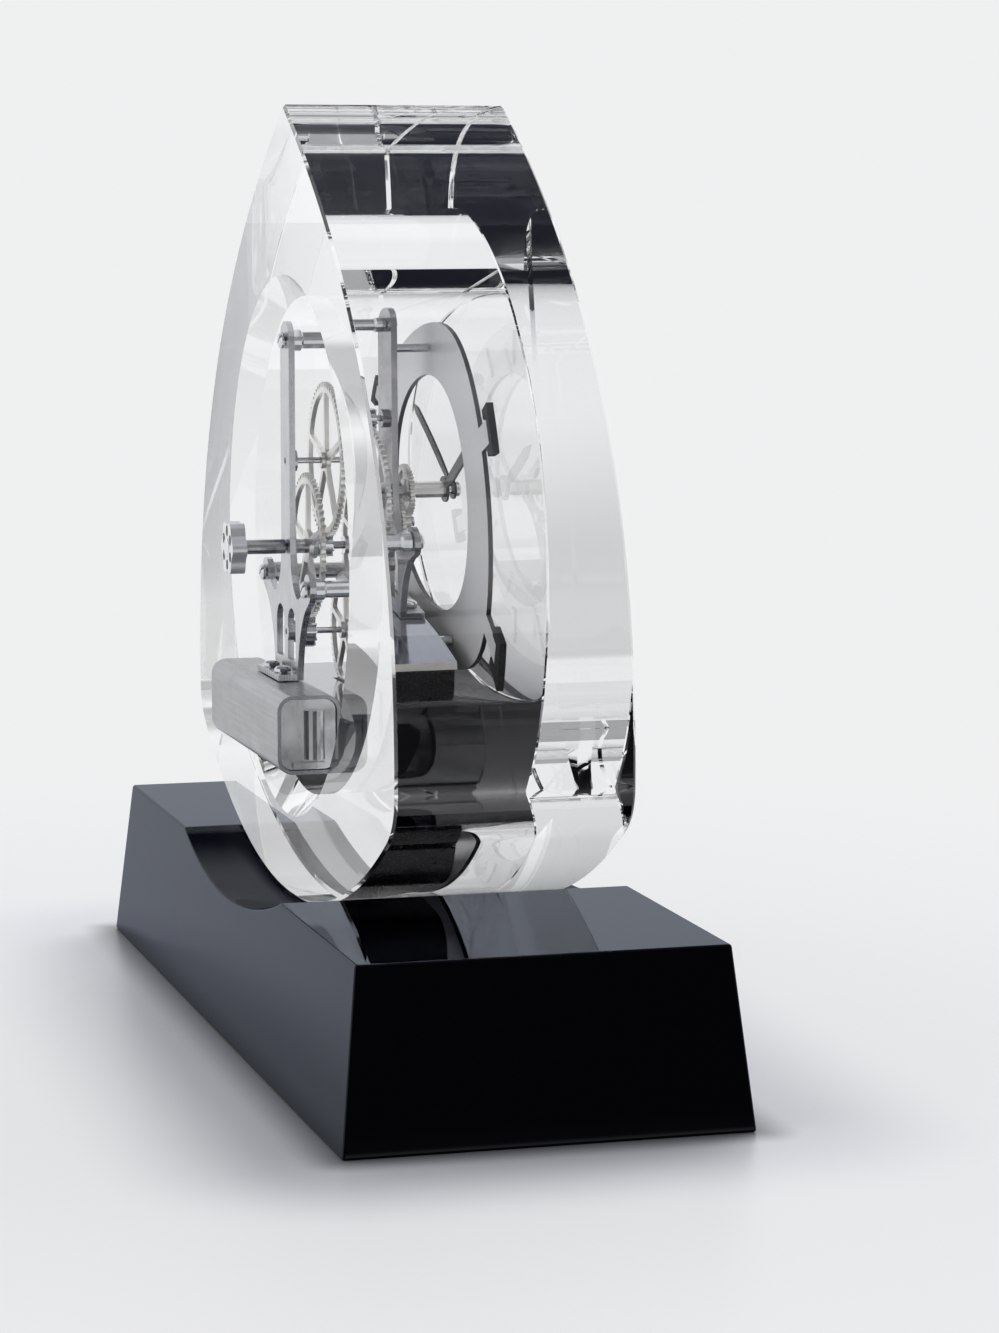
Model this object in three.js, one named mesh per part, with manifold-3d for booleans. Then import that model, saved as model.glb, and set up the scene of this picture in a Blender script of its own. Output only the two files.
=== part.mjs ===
// A crystal mantel clock: a pear-shaped block of clear crystal that sits freely in the hollow of a
// black crystal base, with a skeleton quartz movement in a round pocket behind its dial.
// Millimetres. +X runs along the base, +Y to the back, +Z up; the origin is under the base's centre.
import * as THREE from "three";
import { mergeVertices } from "three/addons/utils/BufferGeometryUtils.js";
import Module from "manifold-3d";

const wasm = await Module();
wasm.setup();

// Clearances
const SEAT_GAP = 0.3; // between pieces that rest on or beside each other
const RUN_GAP = 0.07; // radial, between an arbor and its bore
const PRESS_GAP = 0.05; // radial, between pieces pressed on each other

// Base
const BASE_LENGTH = 290;
const BASE_DEPTH = 100;
const BASE_HEIGHT = 44;
const BASE_END_SLOPE = 5.6; // how far the ends lean in at the top
const BASE_SIDE_SLOPE = 4.6;

// Crystal
const APEX_HEIGHT = 241;
const CRYSTAL_BOTTOM = 35.4;
const SWING_RADIUS = APEX_HEIGHT - CRYSTAL_BOTTOM; // the bottom arc is struck from the apex
const CRYSTAL_HALF_WIDTH = 114.8;
const CRYSTAL_DEPTH = 59.2;
const APEX_SLOPE_DEG = 28.9;
const APEX_PULL = 69; // how far the side runs straight from the apex
const SIDE_PULL = 81; // and how far it runs upright above its widest point
const CORNER_RADIUS = 8;
const SIDE_STRAIGHT = 3.6; // upright part of the side over the corner
const EDGE_BEVEL = 0.7;

// Pocket for the movement
const POCKET_RADIUS = 65;
const POCKET_DEPTH = 48;
const MOUTH_RADIUS = 70.5;
const MOUTH_DEPTH = 6;
const CENTRE_HEIGHT = 127; // the hands' axis

// Places along Y, from the dial to the back
const BACK_FACE = CRYSTAL_DEPTH / 2;
const POCKET_FLOOR = BACK_FACE - POCKET_DEPTH;
const RING_BACK = -6.3;
const FRONT_PLATE_FRONT = 3.8;
const REAR_PLATE_FRONT = 28;
const PLATE_THICKNESS = 1.6;
const FRONT_PLATE_BACK = FRONT_PLATE_FRONT + PLATE_THICKNESS;
const REAR_PLATE_BACK = REAR_PLATE_FRONT + PLATE_THICKNESS;

// Dial
const RING_OUTER = 54;
const RING_INNER = 36;
const RING_THICKNESS = 1.2;
const BATON_RISE = 0.8;
const BATON_LENGTH = 12;
const BATON_WIDTH = 1.8;
const QUARTER_BATON_WIDTH = 3.4;
const LUG_WIDTH = 6;
const LUG_REACH = 8;
const BUMPER_INNER = 60;
const BUMPER_HALF_ANGLE_DEG = 5.5;
const BUMPER_THICKNESS = 1.8;
const DIAL_FOOT_RADIUS = 1.5;

// Plates and pillars
const FRONT_MAST_HALF_WIDTH = 7;
const REAR_MAST_HALF_WIDTH = 5;
const TOP_PILLAR_HEIGHT = 180.5;
const SIDE_PILLAR_X = 24.5;
const SIDE_PILLAR_HEIGHT = 118;
const PILLAR_RADIUS = 2.2;
const PILLAR_COLLAR = 2.8;
const SCREW_SHANK = 1.2;
const SCREW_HEAD = 2.2;
const SCREW_HEAD_HEIGHT = 1.2;
const SCREW_DEPTH = 4;
const FOOT_HALF_WIDTH = 13;
const EYE_RADIUS = 4; // round each side pillar
const POST_HALF_WIDTH = 2; // between the two windows
const LEG_WIDTH = 2; // beside them
const BOSS_RADIUS = 2.9; // round the train's pivots
const BOSS_RISE = 1.2;
const FOOT_REACH = 5;
const FOOT_THICKNESS = 1.5;
const FOOT_SCREW_X = 6.5;

// Going train: teeth and modules
const PINION_LEAVES = 8;
const CENTRE_TEETH = 60;
const THIRD_TEETH = 64;
const THIRD_MODULE = 0.62;
const SECONDS_TEETH = 60;
const LOWER_LEAVES = 12;
const LOWER_TEETH = 60;
const LOWER_MODULE = 0.5;
const ROTOR_LEAVES = 10;
const UPPER_RISE = ((THIRD_TEETH + PINION_LEAVES) * THIRD_MODULE) / 2;
const CENTRE_MODULE = (2 * UPPER_RISE) / (CENTRE_TEETH + PINION_LEAVES);
const SECONDS_MODULE = (2 * UPPER_RISE) / (SECONDS_TEETH + LOWER_LEAVES);
const THIRD_HEIGHT = CENTRE_HEIGHT + UPPER_RISE;
const LOWER_HEIGHT = CENTRE_HEIGHT - UPPER_RISE;
const ROTOR_HEIGHT = LOWER_HEIGHT - ((LOWER_TEETH + ROTOR_LEAVES) * LOWER_MODULE) / 2;
const WHEEL_THICKNESS = 1.2;
const ARBOR_RADIUS = 0.8;

// Motion work between the hands: a twelfth of the speed in two steps
const CANNON_LEAVES = 12;
const MINUTE_TEETH = 36;
const MINUTE_LEAVES = 10;
const HOUR_TEETH = 40;
const MOTION_DROP = 9.6;
const CANNON_MODULE = (2 * MOTION_DROP) / (CANNON_LEAVES + MINUTE_TEETH);
const HOUR_MODULE = (2 * MOTION_DROP) / (MINUTE_LEAVES + HOUR_TEETH);
const MOTION_HEIGHT = CENTRE_HEIGHT - MOTION_DROP;

// Centre arbor, hands and setting knob
const CENTRE_ARBOR_RADIUS = 1;
const ARBOR_COLLAR_RADIUS = 2.4;
const ARBOR_COLLAR_LENGTH = 1.2;
const SETTING_SHAFT_RADIUS = 1.9;
const KNOB_RADIUS = 7.35;
const KNOB_THICKNESS = 5;
const KNOB_FRONT = 40.6;
const KNOB_LOBES = 6;
const KNOB_HOLE_RADIUS = 1.45;
const KNOB_HUB_RADIUS = 2.6;
const KNOB_HOLE_CIRCLE = KNOB_HUB_RADIUS + KNOB_HOLE_RADIUS + 0.35;
const CANNON_RADIUS = 1.55;
const HOUR_PIPE_RADIUS = 2.45;
const HOUR_HAND_LENGTH = 30;
const MINUTE_HAND_LENGTH = 45;
const HAND_THICKNESS = 0.6;
const HOUR_SHOWN = 10;
const MINUTES_SHOWN = 10;

// Motor housing and battery box
const HOUSING_HALF_LENGTH = 40;
const HOUSING_BOTTOM = 73;
const HOUSING_TOP = 88.7;
const HOUSING_FRONT = -0.8;
const HOUSING_CORNER = 8;
const DECK_THICKNESS = 2;
const DECK_OVERHANG = 1;
const BOX_HALF_LENGTH = 41;
const BOX_FRONT = 24.8;
const BOX_BACK = 41.2;
const BOX_BOTTOM = 73;
const BOX_TOP = 93;
const BOX_CORNER = 4;
const BOX_WALL = 1;
const CAP_THICKNESS = 2;
const CAP_INSET = 1;
const GRIP_RADIUS = 2.6;
const GRIP_HALF_HEIGHT = 6.2;
const CELL_RADIUS = 7.05;
const CELL_LENGTH = 49.5;
const NUB_RADIUS = 2.7;
const NUB_LENGTH = 1;
const HOUSING_BACK = BOX_FRONT - SEAT_GAP;
const DECK_BOTTOM = HOUSING_TOP + SEAT_GAP;
const DECK_TOP = DECK_BOTTOM + DECK_THICKNESS;

const TURN = 2 * Math.PI;
const rad = THREE.MathUtils.degToRad;

function finish(color, roughness, metalness) {
  return new THREE.MeshStandardMaterial({ color, roughness, metalness });
}

const material = {
  black: finish(0x050506, 0.05, 0),
  crystal: new THREE.MeshStandardMaterial({
    color: 0xf4f8fa, roughness: 0.02, metalness: 0, transparent: true, opacity: 0.3,
  }),
  steel: finish(0xc9cace, 0.2, 1),
  satin: finish(0xb4b6ba, 0.38, 1),
  brass: finish(0xc8ad7a, 0.25, 1),
  rubber: finish(0x1b1b1c, 0.8, 0),
  plastic: finish(0x101012, 0.4, 0),
  hand: finish(0x17181a, 0.3, 0.4),
  cell: finish(0x3a3d42, 0.35, 0.6),
};

const clock = new THREE.Group();

function place(name, geometry, look, position = [0, 0, 0], parent = clock) {
  const mesh = new THREE.Mesh(geometry, look);
  mesh.name = name;
  mesh.position.set(...position);
  parent.add(mesh);
  return mesh;
}

// Joining and cutting
function toSolid(geometry) {
  const bare = geometry.clone();
  bare.deleteAttribute("normal");
  bare.deleteAttribute("uv");
  const merged = mergeVertices(bare, 1e-4);
  return new wasm.Manifold(
    new wasm.Mesh({
      numProp: 3,
      vertProperties: merged.attributes.position.array,
      triVerts: new Uint32Array(merged.index.array),
    }),
  );
}

function toGeometry(solid) {
  const { vertProperties, triVerts } = solid.getMesh();
  const geometry = new THREE.BufferGeometry();
  geometry.setAttribute("position", new THREE.BufferAttribute(vertProperties, 3));
  geometry.setIndex(new THREE.BufferAttribute(triVerts, 1));
  geometry.computeVertexNormals();
  return geometry;
}

function join(...geometries) {
  return toGeometry(geometries.map(toSolid).reduce((a, b) => a.add(b)));
}

function cut(geometry, ...tools) {
  return toGeometry(tools.reduce((solid, tool) => solid.subtract(toSolid(tool)), toSolid(geometry)));
}

// Outlines drawn in the XZ plane and given a thickness along Y
function slab(shape, front, back, curveSegments = 12, bevel = 0) {
  const geometry = new THREE.ExtrudeGeometry(shape, {
    depth: back - front - 2 * bevel,
    curveSegments,
    bevelEnabled: bevel > 0,
    bevelSize: bevel,
    bevelThickness: bevel,
    bevelOffset: -bevel,
    bevelSegments: 1,
  });
  return geometry.rotateX(Math.PI / 2).translate(0, back - bevel, 0);
}

// Outlines drawn in the YZ plane and given a length along X
function bar(shape, start, end, curveSegments = 5) {
  const geometry = new THREE.ExtrudeGeometry(shape, {
    depth: end - start, curveSegments, bevelEnabled: false,
  });
  const turn = new THREE.Matrix4().set(0, 0, 1, start, 1, 0, 0, 0, 0, 1, 0, 0, 0, 0, 0, 1);
  return geometry.applyMatrix4(turn);
}

// A piece turned about an axis along Y, from [radius, y] points that run to the back
function turned(profile, segments = 16) {
  return new THREE.LatheGeometry(profile.map(([r, y]) => new THREE.Vector2(r, y)), segments);
}

function rod(radius, front, back, segments = 16) {
  return turned([[0, front], [radius, front], [radius, back], [0, back]], segments);
}

function tube(inner, outer, front, back, segments = 16) {
  return turned(
    [[inner, front], [outer, front], [outer, back], [inner, back], [inner, front]],
    segments,
  );
}

function block(x0, x1, y0, y1, z0, z1) {
  return new THREE.BoxGeometry(x1 - x0, y1 - y0, z1 - z0)
    .translate((x0 + x1) / 2, (y0 + y1) / 2, (z0 + z1) / 2);
}

function arc(radius, from, to, steps, centre = [0, 0]) {
  return Array.from({ length: steps + 1 }, (_, i) => {
    const angle = from + ((to - from) * i) / steps;
    return new THREE.Vector2(centre[0] + radius * Math.cos(angle), centre[1] + radius * Math.sin(angle));
  });
}

function circle(radius, steps = 16, centre = [0, 0]) {
  return new THREE.Path(arc(radius, 0, TURN, steps, centre).slice(0, steps));
}

function roundedRectangle(left, right, bottom, top, radius, lowerRadius = radius) {
  const shape = new THREE.Shape();
  shape.moveTo(left + lowerRadius, bottom);
  shape.absarc(right - lowerRadius, bottom + lowerRadius, lowerRadius, -Math.PI / 2, 0, false);
  shape.absarc(right - radius, top - radius, radius, 0, Math.PI / 2, false);
  shape.absarc(left + radius, top - radius, radius, Math.PI / 2, Math.PI, false);
  shape.absarc(left + lowerRadius, bottom + lowerRadius, lowerRadius, Math.PI, 1.5 * Math.PI, false);
  return shape;
}

// Base: four leaning faces and a hollow that fits the crystal's bottom arc
function baseBlock() {
  const body = new THREE.BoxGeometry(BASE_LENGTH, BASE_DEPTH, BASE_HEIGHT);
  const corner = body.attributes.position;
  for (let i = 0; i < corner.count; i += 1) {
    if (corner.getZ(i) > 0) {
      corner.setX(i, corner.getX(i) * (1 - (2 * BASE_END_SLOPE) / BASE_LENGTH));
      corner.setY(i, corner.getY(i) * (1 - (2 * BASE_SIDE_SLOPE) / BASE_DEPTH));
    }
  }
  body.translate(0, 0, BASE_HEIGHT / 2);
  const radius = SWING_RADIUS + SEAT_GAP;
  const reach = Math.acos((APEX_HEIGHT - BASE_HEIGHT - 1) / radius);
  const hollow = new THREE.Shape(
    arc(radius, -Math.PI / 2 - reach, -Math.PI / 2 + reach, 40, [0, APEX_HEIGHT]),
  );
  return cut(body, slab(hollow, -BASE_DEPTH, BASE_DEPTH));
}

// Crystal: two curved flanks that meet in a ridge, over an arc struck from that ridge
function crystalOutline() {
  const slope = rad(APEX_SLOPE_DEG);
  const pull = [APEX_PULL * Math.cos(slope), APEX_HEIGHT - APEX_PULL * Math.sin(slope)];
  const w = CRYSTAL_HALF_WIDTH;
  const corner = APEX_HEIGHT - Math.sqrt(SWING_RADIUS ** 2 - w ** 2);
  const widest = corner + CORNER_RADIUS + SIDE_STRAIGHT;
  const shoulder = widest + SIDE_PULL;
  const bend = Math.acos((w - CORNER_RADIUS) / SWING_RADIUS);
  const shape = new THREE.Shape();
  shape.moveTo(0, APEX_HEIGHT);
  shape.bezierCurveTo(-pull[0], pull[1], -w, shoulder, -w, widest);
  shape.lineTo(-w, corner + CORNER_RADIUS);
  shape.quadraticCurveTo(
    -w, corner, -w + CORNER_RADIUS, APEX_HEIGHT - SWING_RADIUS * Math.sin(bend),
  );
  shape.absarc(0, APEX_HEIGHT, SWING_RADIUS, Math.PI + bend, TURN - bend, false);
  shape.quadraticCurveTo(w, corner, w, corner + CORNER_RADIUS);
  shape.lineTo(w, widest);
  shape.bezierCurveTo(w, shoulder, pull[0], pull[1], 0, APEX_HEIGHT);
  return shape;
}

function crystalBlock() {
  const body = slab(crystalOutline(), -BACK_FACE, BACK_FACE, 24, EDGE_BEVEL);
  const rise = (MOUTH_RADIUS - POCKET_RADIUS) / MOUTH_DEPTH;
  const beyond = 2;
  const pocket = turned([
    [0, POCKET_FLOOR],
    [POCKET_RADIUS, POCKET_FLOOR],
    [POCKET_RADIUS, BACK_FACE - MOUTH_DEPTH],
    [MOUTH_RADIUS + rise * beyond, BACK_FACE + beyond],
    [0, BACK_FACE + beyond],
  ], 72).translate(0, 0, CENTRE_HEIGHT);
  return cut(body, pocket);
}

// Dial: a chapter ring with raised batons, held in the pocket by four rubber bumpers
const BUMPER_ANGLES = [25, 155, 205, 335].map(rad);

function spoke(angle, inner, outer, width, front, back) {
  return block(inner, outer, front, back, -width / 2, width / 2).rotateY(-angle);
}

function chapterRing() {
  const front = RING_BACK - RING_THICKNESS;
  const middle = (RING_INNER + RING_OUTER) / 2;
  const hours = Array.from({ length: 12 }, (_, hour) => {
    const width = hour % 3 === 0 ? QUARTER_BATON_WIDTH : BATON_WIDTH;
    const half = BATON_LENGTH / 2;
    return spoke((hour * TURN) / 12, middle - half, middle + half, width,
      front - BATON_RISE, front + RING_THICKNESS / 2);
  });
  const lugs = BUMPER_ANGLES.map((angle) =>
    spoke(angle, RING_OUTER - 1, RING_OUTER + LUG_REACH, LUG_WIDTH, front, RING_BACK));
  return join(tube(RING_INNER, RING_OUTER, front, RING_BACK, 72), ...hours, ...lugs);
}

function ringBumper(angle) {
  const half = rad(BUMPER_HALF_ANGLE_DEG);
  const outer = POCKET_RADIUS - SEAT_GAP;
  const shape = new THREE.Shape([
    ...arc(BUMPER_INNER, half, -half, 4),
    ...arc(outer, -half, half, 6),
  ]);
  const middle = RING_BACK - RING_THICKNESS / 2;
  const body = slab(shape, middle - BUMPER_THICKNESS / 2, middle + BUMPER_THICKNESS / 2);
  const slot = block(
    BUMPER_INNER - 2, RING_OUTER + LUG_REACH + SEAT_GAP,
    middle - BUMPER_THICKNESS, middle + BUMPER_THICKNESS,
    -LUG_WIDTH / 2 - SEAT_GAP, LUG_WIDTH / 2 + SEAT_GAP,
  );
  return cut(body, slot).rotateY(-angle);
}

function dialFoot(back) {
  return rod(DIAL_FOOT_RADIUS, RING_BACK + SEAT_GAP, back, 16);
}

// Plates: a mast between two arms that rise to the side pillars, over two arched windows and a foot
function plateOutline(bottom, mast) {
  const eye = SIDE_PILLAR_X;
  const inner = eye - EYE_RADIUS;
  const flank = (side) => {
    const points = [
      [mast, SIDE_PILLAR_HEIGHT + 3 * EYE_RADIUS],
      [mast + 0.1 * (inner - mast), SIDE_PILLAR_HEIGHT + 0.5 * EYE_RADIUS],
      [(mast + inner) / 2, SIDE_PILLAR_HEIGHT - 0.9 * EYE_RADIUS],
      [inner - 0.08 * (inner - mast), SIDE_PILLAR_HEIGHT - 0.35 * EYE_RADIUS],
    ];
    const curve = new THREE.SplineCurve(points.map(([x, z]) => new THREE.Vector2(side * x, z)));
    return curve.getPoints(12);
  };
  const lower = (side) => {
    const curve = new THREE.CubicBezierCurve(
      new THREE.Vector2(side * (eye + 0.25 * EYE_RADIUS), SIDE_PILLAR_HEIGHT - EYE_RADIUS),
      new THREE.Vector2(side * inner, SIDE_PILLAR_HEIGHT - 1.5 * EYE_RADIUS),
      new THREE.Vector2(side * 1.1 * FOOT_HALF_WIDTH, (bottom + SIDE_PILLAR_HEIGHT) / 2),
      new THREE.Vector2(side * FOOT_HALF_WIDTH, bottom),
    );
    return curve.getPoints(10);
  };
  const roundEye = (side) => {
    const half = arc(EYE_RADIUS, Math.PI, -Math.PI / 2 + 0.3, 12);
    return half.map((p) => new THREE.Vector2(side * (eye + p.x), SIDE_PILLAR_HEIGHT + p.y));
  };
  const right = [...flank(1), ...roundEye(1), ...lower(1)];
  const left = [...flank(-1), ...roundEye(-1), ...lower(-1)].reverse();
  const top = arc(mast, Math.PI, 0, 12, [0, TOP_PILLAR_HEIGHT]);
  return new THREE.Shape([...left, ...top, ...right]);
}

function archWindow(side, bottom, front, back) {
  const half = (FOOT_HALF_WIDTH - POST_HALF_WIDTH - LEG_WIDTH) / 2;
  const spring = LOWER_HEIGHT + half / 2;
  const shape = new THREE.Shape([
    new THREE.Vector2(-half, bottom),
    new THREE.Vector2(half, bottom),
    ...arc(half, 0, Math.PI, 10, [0, spring]),
  ]);
  return slab(shape, front, back).translate(side * (half + POST_HALF_WIDTH), 0, 0);
}

function movementPlate(front, bottom, footDirection, mast, extraBores) {
  const shape = plateOutline(bottom, mast);
  const bore = (radius, x, z) => shape.holes.push(circle(radius, 20, [x, z]));
  bore(CENTRE_ARBOR_RADIUS + RUN_GAP, 0, CENTRE_HEIGHT);
  bore(ARBOR_RADIUS + RUN_GAP, 0, THIRD_HEIGHT);
  bore(ARBOR_RADIUS + RUN_GAP, 0, LOWER_HEIGHT);
  pillarPlaces().forEach(([x, z]) => bore(SCREW_SHANK + PRESS_GAP * 2, x, z));
  extraBores.forEach(([radius, x, z]) => bore(radius, x, z));
  const back = front + PLATE_THICKNESS;
  const windows = [-1, 1].map((side) => archWindow(side, bottom + 3 * FOOT_THICKNESS, front - 1, back + 1));
  const footFront = footDirection > 0 ? front : front - FOOT_REACH;
  const footBack = footDirection > 0 ? back + FOOT_REACH : back;
  const half = FOOT_HALF_WIDTH;
  const foot = block(-half, half, footFront, footBack, bottom, bottom + FOOT_THICKNESS);
  const holes = [-1, 1].map((side) =>
    uprightRod(SCREW_SHANK + PRESS_GAP * 2, bottom - 1, bottom + FOOT_THICKNESS + 1, 12)
      .translate(side * FOOT_SCREW_X, footScrewY(front, footDirection), 0));
  const body = cut(join(slab(shape, front, back), foot), ...windows, ...holes);
  const inside = footDirection > 0 ? [front - BOSS_RISE, back] : [front, back + BOSS_RISE];
  const bosses = [THIRD_HEIGHT, LOWER_HEIGHT].map((height) =>
    tube(ARBOR_RADIUS + SEAT_GAP, BOSS_RADIUS, ...inside).translate(0, 0, height));
  return join(body, ...bosses);
}

function footScrewY(front, direction) {
  return direction > 0
    ? front + PLATE_THICKNESS + FOOT_REACH / 2
    : front - FOOT_REACH / 2;
}

function pillarPlaces() {
  return [
    [0, TOP_PILLAR_HEIGHT],
    [-SIDE_PILLAR_X, SIDE_PILLAR_HEIGHT],
    [SIDE_PILLAR_X, SIDE_PILLAR_HEIGHT],
  ];
}

function uprightRod(radius, bottom, top, segments = 16) {
  return rod(radius, 0, top - bottom, segments).rotateX(Math.PI / 2).translate(0, 0, bottom);
}

function pillar() {
  const front = FRONT_PLATE_BACK + SEAT_GAP;
  const back = REAR_PLATE_FRONT - SEAT_GAP;
  const bore = SCREW_SHANK + PRESS_GAP * 2;
  const depth = SCREW_DEPTH;
  const collar = 2.2;
  return turned([
    [0, front + depth], [bore, front + depth], [bore, front], [PILLAR_COLLAR, front],
    [PILLAR_COLLAR, front + collar], [PILLAR_RADIUS, front + collar + 0.6],
    [PILLAR_RADIUS, back - collar - 0.6], [PILLAR_COLLAR, back - collar],
    [PILLAR_COLLAR, back], [bore, back], [bore, back - depth], [0, back - depth],
  ]);
}

// A slotted screw along Y whose head faces the back; its shank starts at the head's seat, y = 0
function screw(shankLength) {
  const body = turned([
    [0, -shankLength], [SCREW_SHANK, -shankLength], [SCREW_SHANK, 0], [SCREW_HEAD, 0],
    [SCREW_HEAD, SCREW_HEAD_HEIGHT * 0.6], [SCREW_HEAD - 0.5, SCREW_HEAD_HEIGHT], [0, SCREW_HEAD_HEIGHT],
  ], 12);
  const slot = block(-SCREW_HEAD, SCREW_HEAD, SCREW_HEAD_HEIGHT / 2, SCREW_HEAD_HEIGHT + 1, -0.3, 0.3);
  return cut(body, slot.rotateY(0.6));
}

// Toothed wheels. A tooth, or a gap, points along the phase angle.
function toothedShape(teeth, module, phase, gapThere) {
  const pitch = (teeth * module) / 2;
  const root = pitch - 1.25 * module;
  const tip = pitch + 0.8 * module;
  const step = TURN / teeth;
  const start = phase + (gapThere ? step / 2 : 0);
  const few = teeth < 16;
  const rootHalf = step * (few ? 0.19 : 0.27);
  const tipHalf = step * (few ? 0.09 : 0.1);
  const points = [];
  for (let i = 0; i < teeth; i += 1) {
    const middle = start + i * step;
    for (const [radius, angle] of [[root, -rootHalf], [tip, -tipHalf], [tip, tipHalf], [root, rootHalf]]) {
      points.push(new THREE.Vector2(radius * Math.cos(middle + angle), radius * Math.sin(middle + angle)));
    }
  }
  return new THREE.Shape(points);
}

function spokeWindow(from, to, inner, outer, width) {
  const hub = Math.asin(width / 2 / inner);
  const rim = Math.asin(width / 2 / outer);
  return new THREE.Path([
    ...arc(outer, from + rim, to - rim, 7),
    ...arc(inner, to - hub, from + hub, 3),
  ]);
}

function wheel({ teeth, module, phase = 0, gapThere = false, spokes, hub, bore, front, thickness }) {
  const shape = toothedShape(teeth, module, phase, gapThere);
  const rim = (teeth * module) / 2 - 2.6 * module - 0.6;
  for (let i = 0; i < spokes; i += 1) {
    const from = Math.PI / 2 + (i * TURN) / spokes;
    shape.holes.push(spokeWindow(from, from + TURN / spokes, hub, rim, 1.5));
  }
  if (bore > 0) shape.holes.push(circle(bore));
  return slab(shape, front, front + thickness);
}

function pinion({ leaves, module, phase = 0, gapThere = false, bore = 0, front, back }) {
  const shape = toothedShape(leaves, module, phase, gapThere);
  if (bore > 0) shape.holes.push(circle(bore));
  return slab(shape, front, back);
}

const UP = Math.PI / 2;
const DOWN = -Math.PI / 2;

// Places of the train along Y
const CENTRE_WHEEL_FRONT = 8.8;
const THIRD_WHEEL_FRONT = 18;
const SECONDS_WHEEL_FRONT = 23;
const LOWER_WHEEL_FRONT = 13;
const PINION_OVERLAP = 0.8; // how far a pinion stands out on each side of the wheel it meets
const WHEEL_HUB = 3.4;
const JOURNAL_FRONT = FRONT_PLATE_FRONT + 0.2;
const JOURNAL_BACK = REAR_PLATE_BACK - 0.2;

function centreWheel() {
  const bore = CENTRE_ARBOR_RADIUS + RUN_GAP;
  const body = wheel({
    teeth: CENTRE_TEETH, module: CENTRE_MODULE, phase: UP, spokes: 5, hub: WHEEL_HUB + 1,
    bore, front: CENTRE_WHEEL_FRONT, thickness: WHEEL_THICKNESS,
  });
  const hubFront = CENTRE_WHEEL_FRONT + WHEEL_THICKNESS / 2;
  return join(body, tube(bore, WHEEL_HUB, hubFront, hubFront + 2.2));
}

function clutchSpring() {
  const inner = CENTRE_ARBOR_RADIUS + RUN_GAP;
  const front = CENTRE_WHEEL_FRONT + WHEEL_THICKNESS / 2 + 2.2 + SEAT_GAP;
  return turned([
    [inner, front + 0.4], [3, front], [3.4, front], [3.4, front + 0.3], [3, front + 0.3],
    [inner, front + 0.7], [inner, front + 0.4],
  ]);
}

const CLUTCH_COLLAR_FRONT = CENTRE_WHEEL_FRONT + WHEEL_THICKNESS / 2 + 2.2 + 1.3;

function secondsPinion() {
  const leaves = pinion({
    leaves: PINION_LEAVES, module: THIRD_MODULE, phase: UP, gapThere: true,
    bore: CENTRE_ARBOR_RADIUS + RUN_GAP,
    front: THIRD_WHEEL_FRONT - PINION_OVERLAP, back: SECONDS_WHEEL_FRONT - 1.8,
  });
  const pipe = tube(
    CENTRE_ARBOR_RADIUS + RUN_GAP, SETTING_SHAFT_RADIUS, SECONDS_WHEEL_FRONT - 2, REAR_PLATE_FRONT - 0.5, 20,
  );
  const flange = tube(
    CENTRE_ARBOR_RADIUS + RUN_GAP, WHEEL_HUB, SECONDS_WHEEL_FRONT - 1.4, SECONDS_WHEEL_FRONT - 0.1, 20,
  );
  return join(leaves, pipe, flange);
}

function arborWithPinion(leaves, module, phase, gapThere, pinionFront, pinionBack, front, back) {
  return join(
    rod(ARBOR_RADIUS, front, back, 16),
    pinion({ leaves, module, phase, gapThere, front: pinionFront, back: pinionBack }),
  );
}

function wheelOnArbor(options) {
  const body = wheel({ ...options, bore: ARBOR_RADIUS + PRESS_GAP, hub: 3, thickness: WHEEL_THICKNESS });
  const hubFront = options.front + WHEEL_THICKNESS / 2;
  return join(body, tube(ARBOR_RADIUS + PRESS_GAP, 2.2, hubFront, hubFront + 1.6));
}

// Centre arbor: hands in front, clutch inside, setting shaft behind
const HAND_NUT_FRONT = -14.4;
const MINUTE_HAND_FRONT = -12.8;
const HOUR_HAND_FRONT = -10.6;

function centreArbor() {
  const collarBack = CENTRE_WHEEL_FRONT - SEAT_GAP;
  return turned([
    [0, HAND_NUT_FRONT + 0.4],
    [CENTRE_ARBOR_RADIUS, HAND_NUT_FRONT + 0.4],
    [CENTRE_ARBOR_RADIUS, collarBack - ARBOR_COLLAR_LENGTH],
    [ARBOR_COLLAR_RADIUS, collarBack - ARBOR_COLLAR_LENGTH],
    [ARBOR_COLLAR_RADIUS, collarBack],
    [CENTRE_ARBOR_RADIUS, collarBack],
    [CENTRE_ARBOR_RADIUS, REAR_PLATE_BACK + SEAT_GAP],
    [SETTING_SHAFT_RADIUS, REAR_PLATE_BACK + SEAT_GAP],
    [SETTING_SHAFT_RADIUS, KNOB_FRONT - SEAT_GAP],
    [CENTRE_ARBOR_RADIUS, KNOB_FRONT - SEAT_GAP],
    [CENTRE_ARBOR_RADIUS, KNOB_FRONT + KNOB_THICKNESS / 2],
    [0, KNOB_FRONT + KNOB_THICKNESS / 2],
  ]);
}

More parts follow.
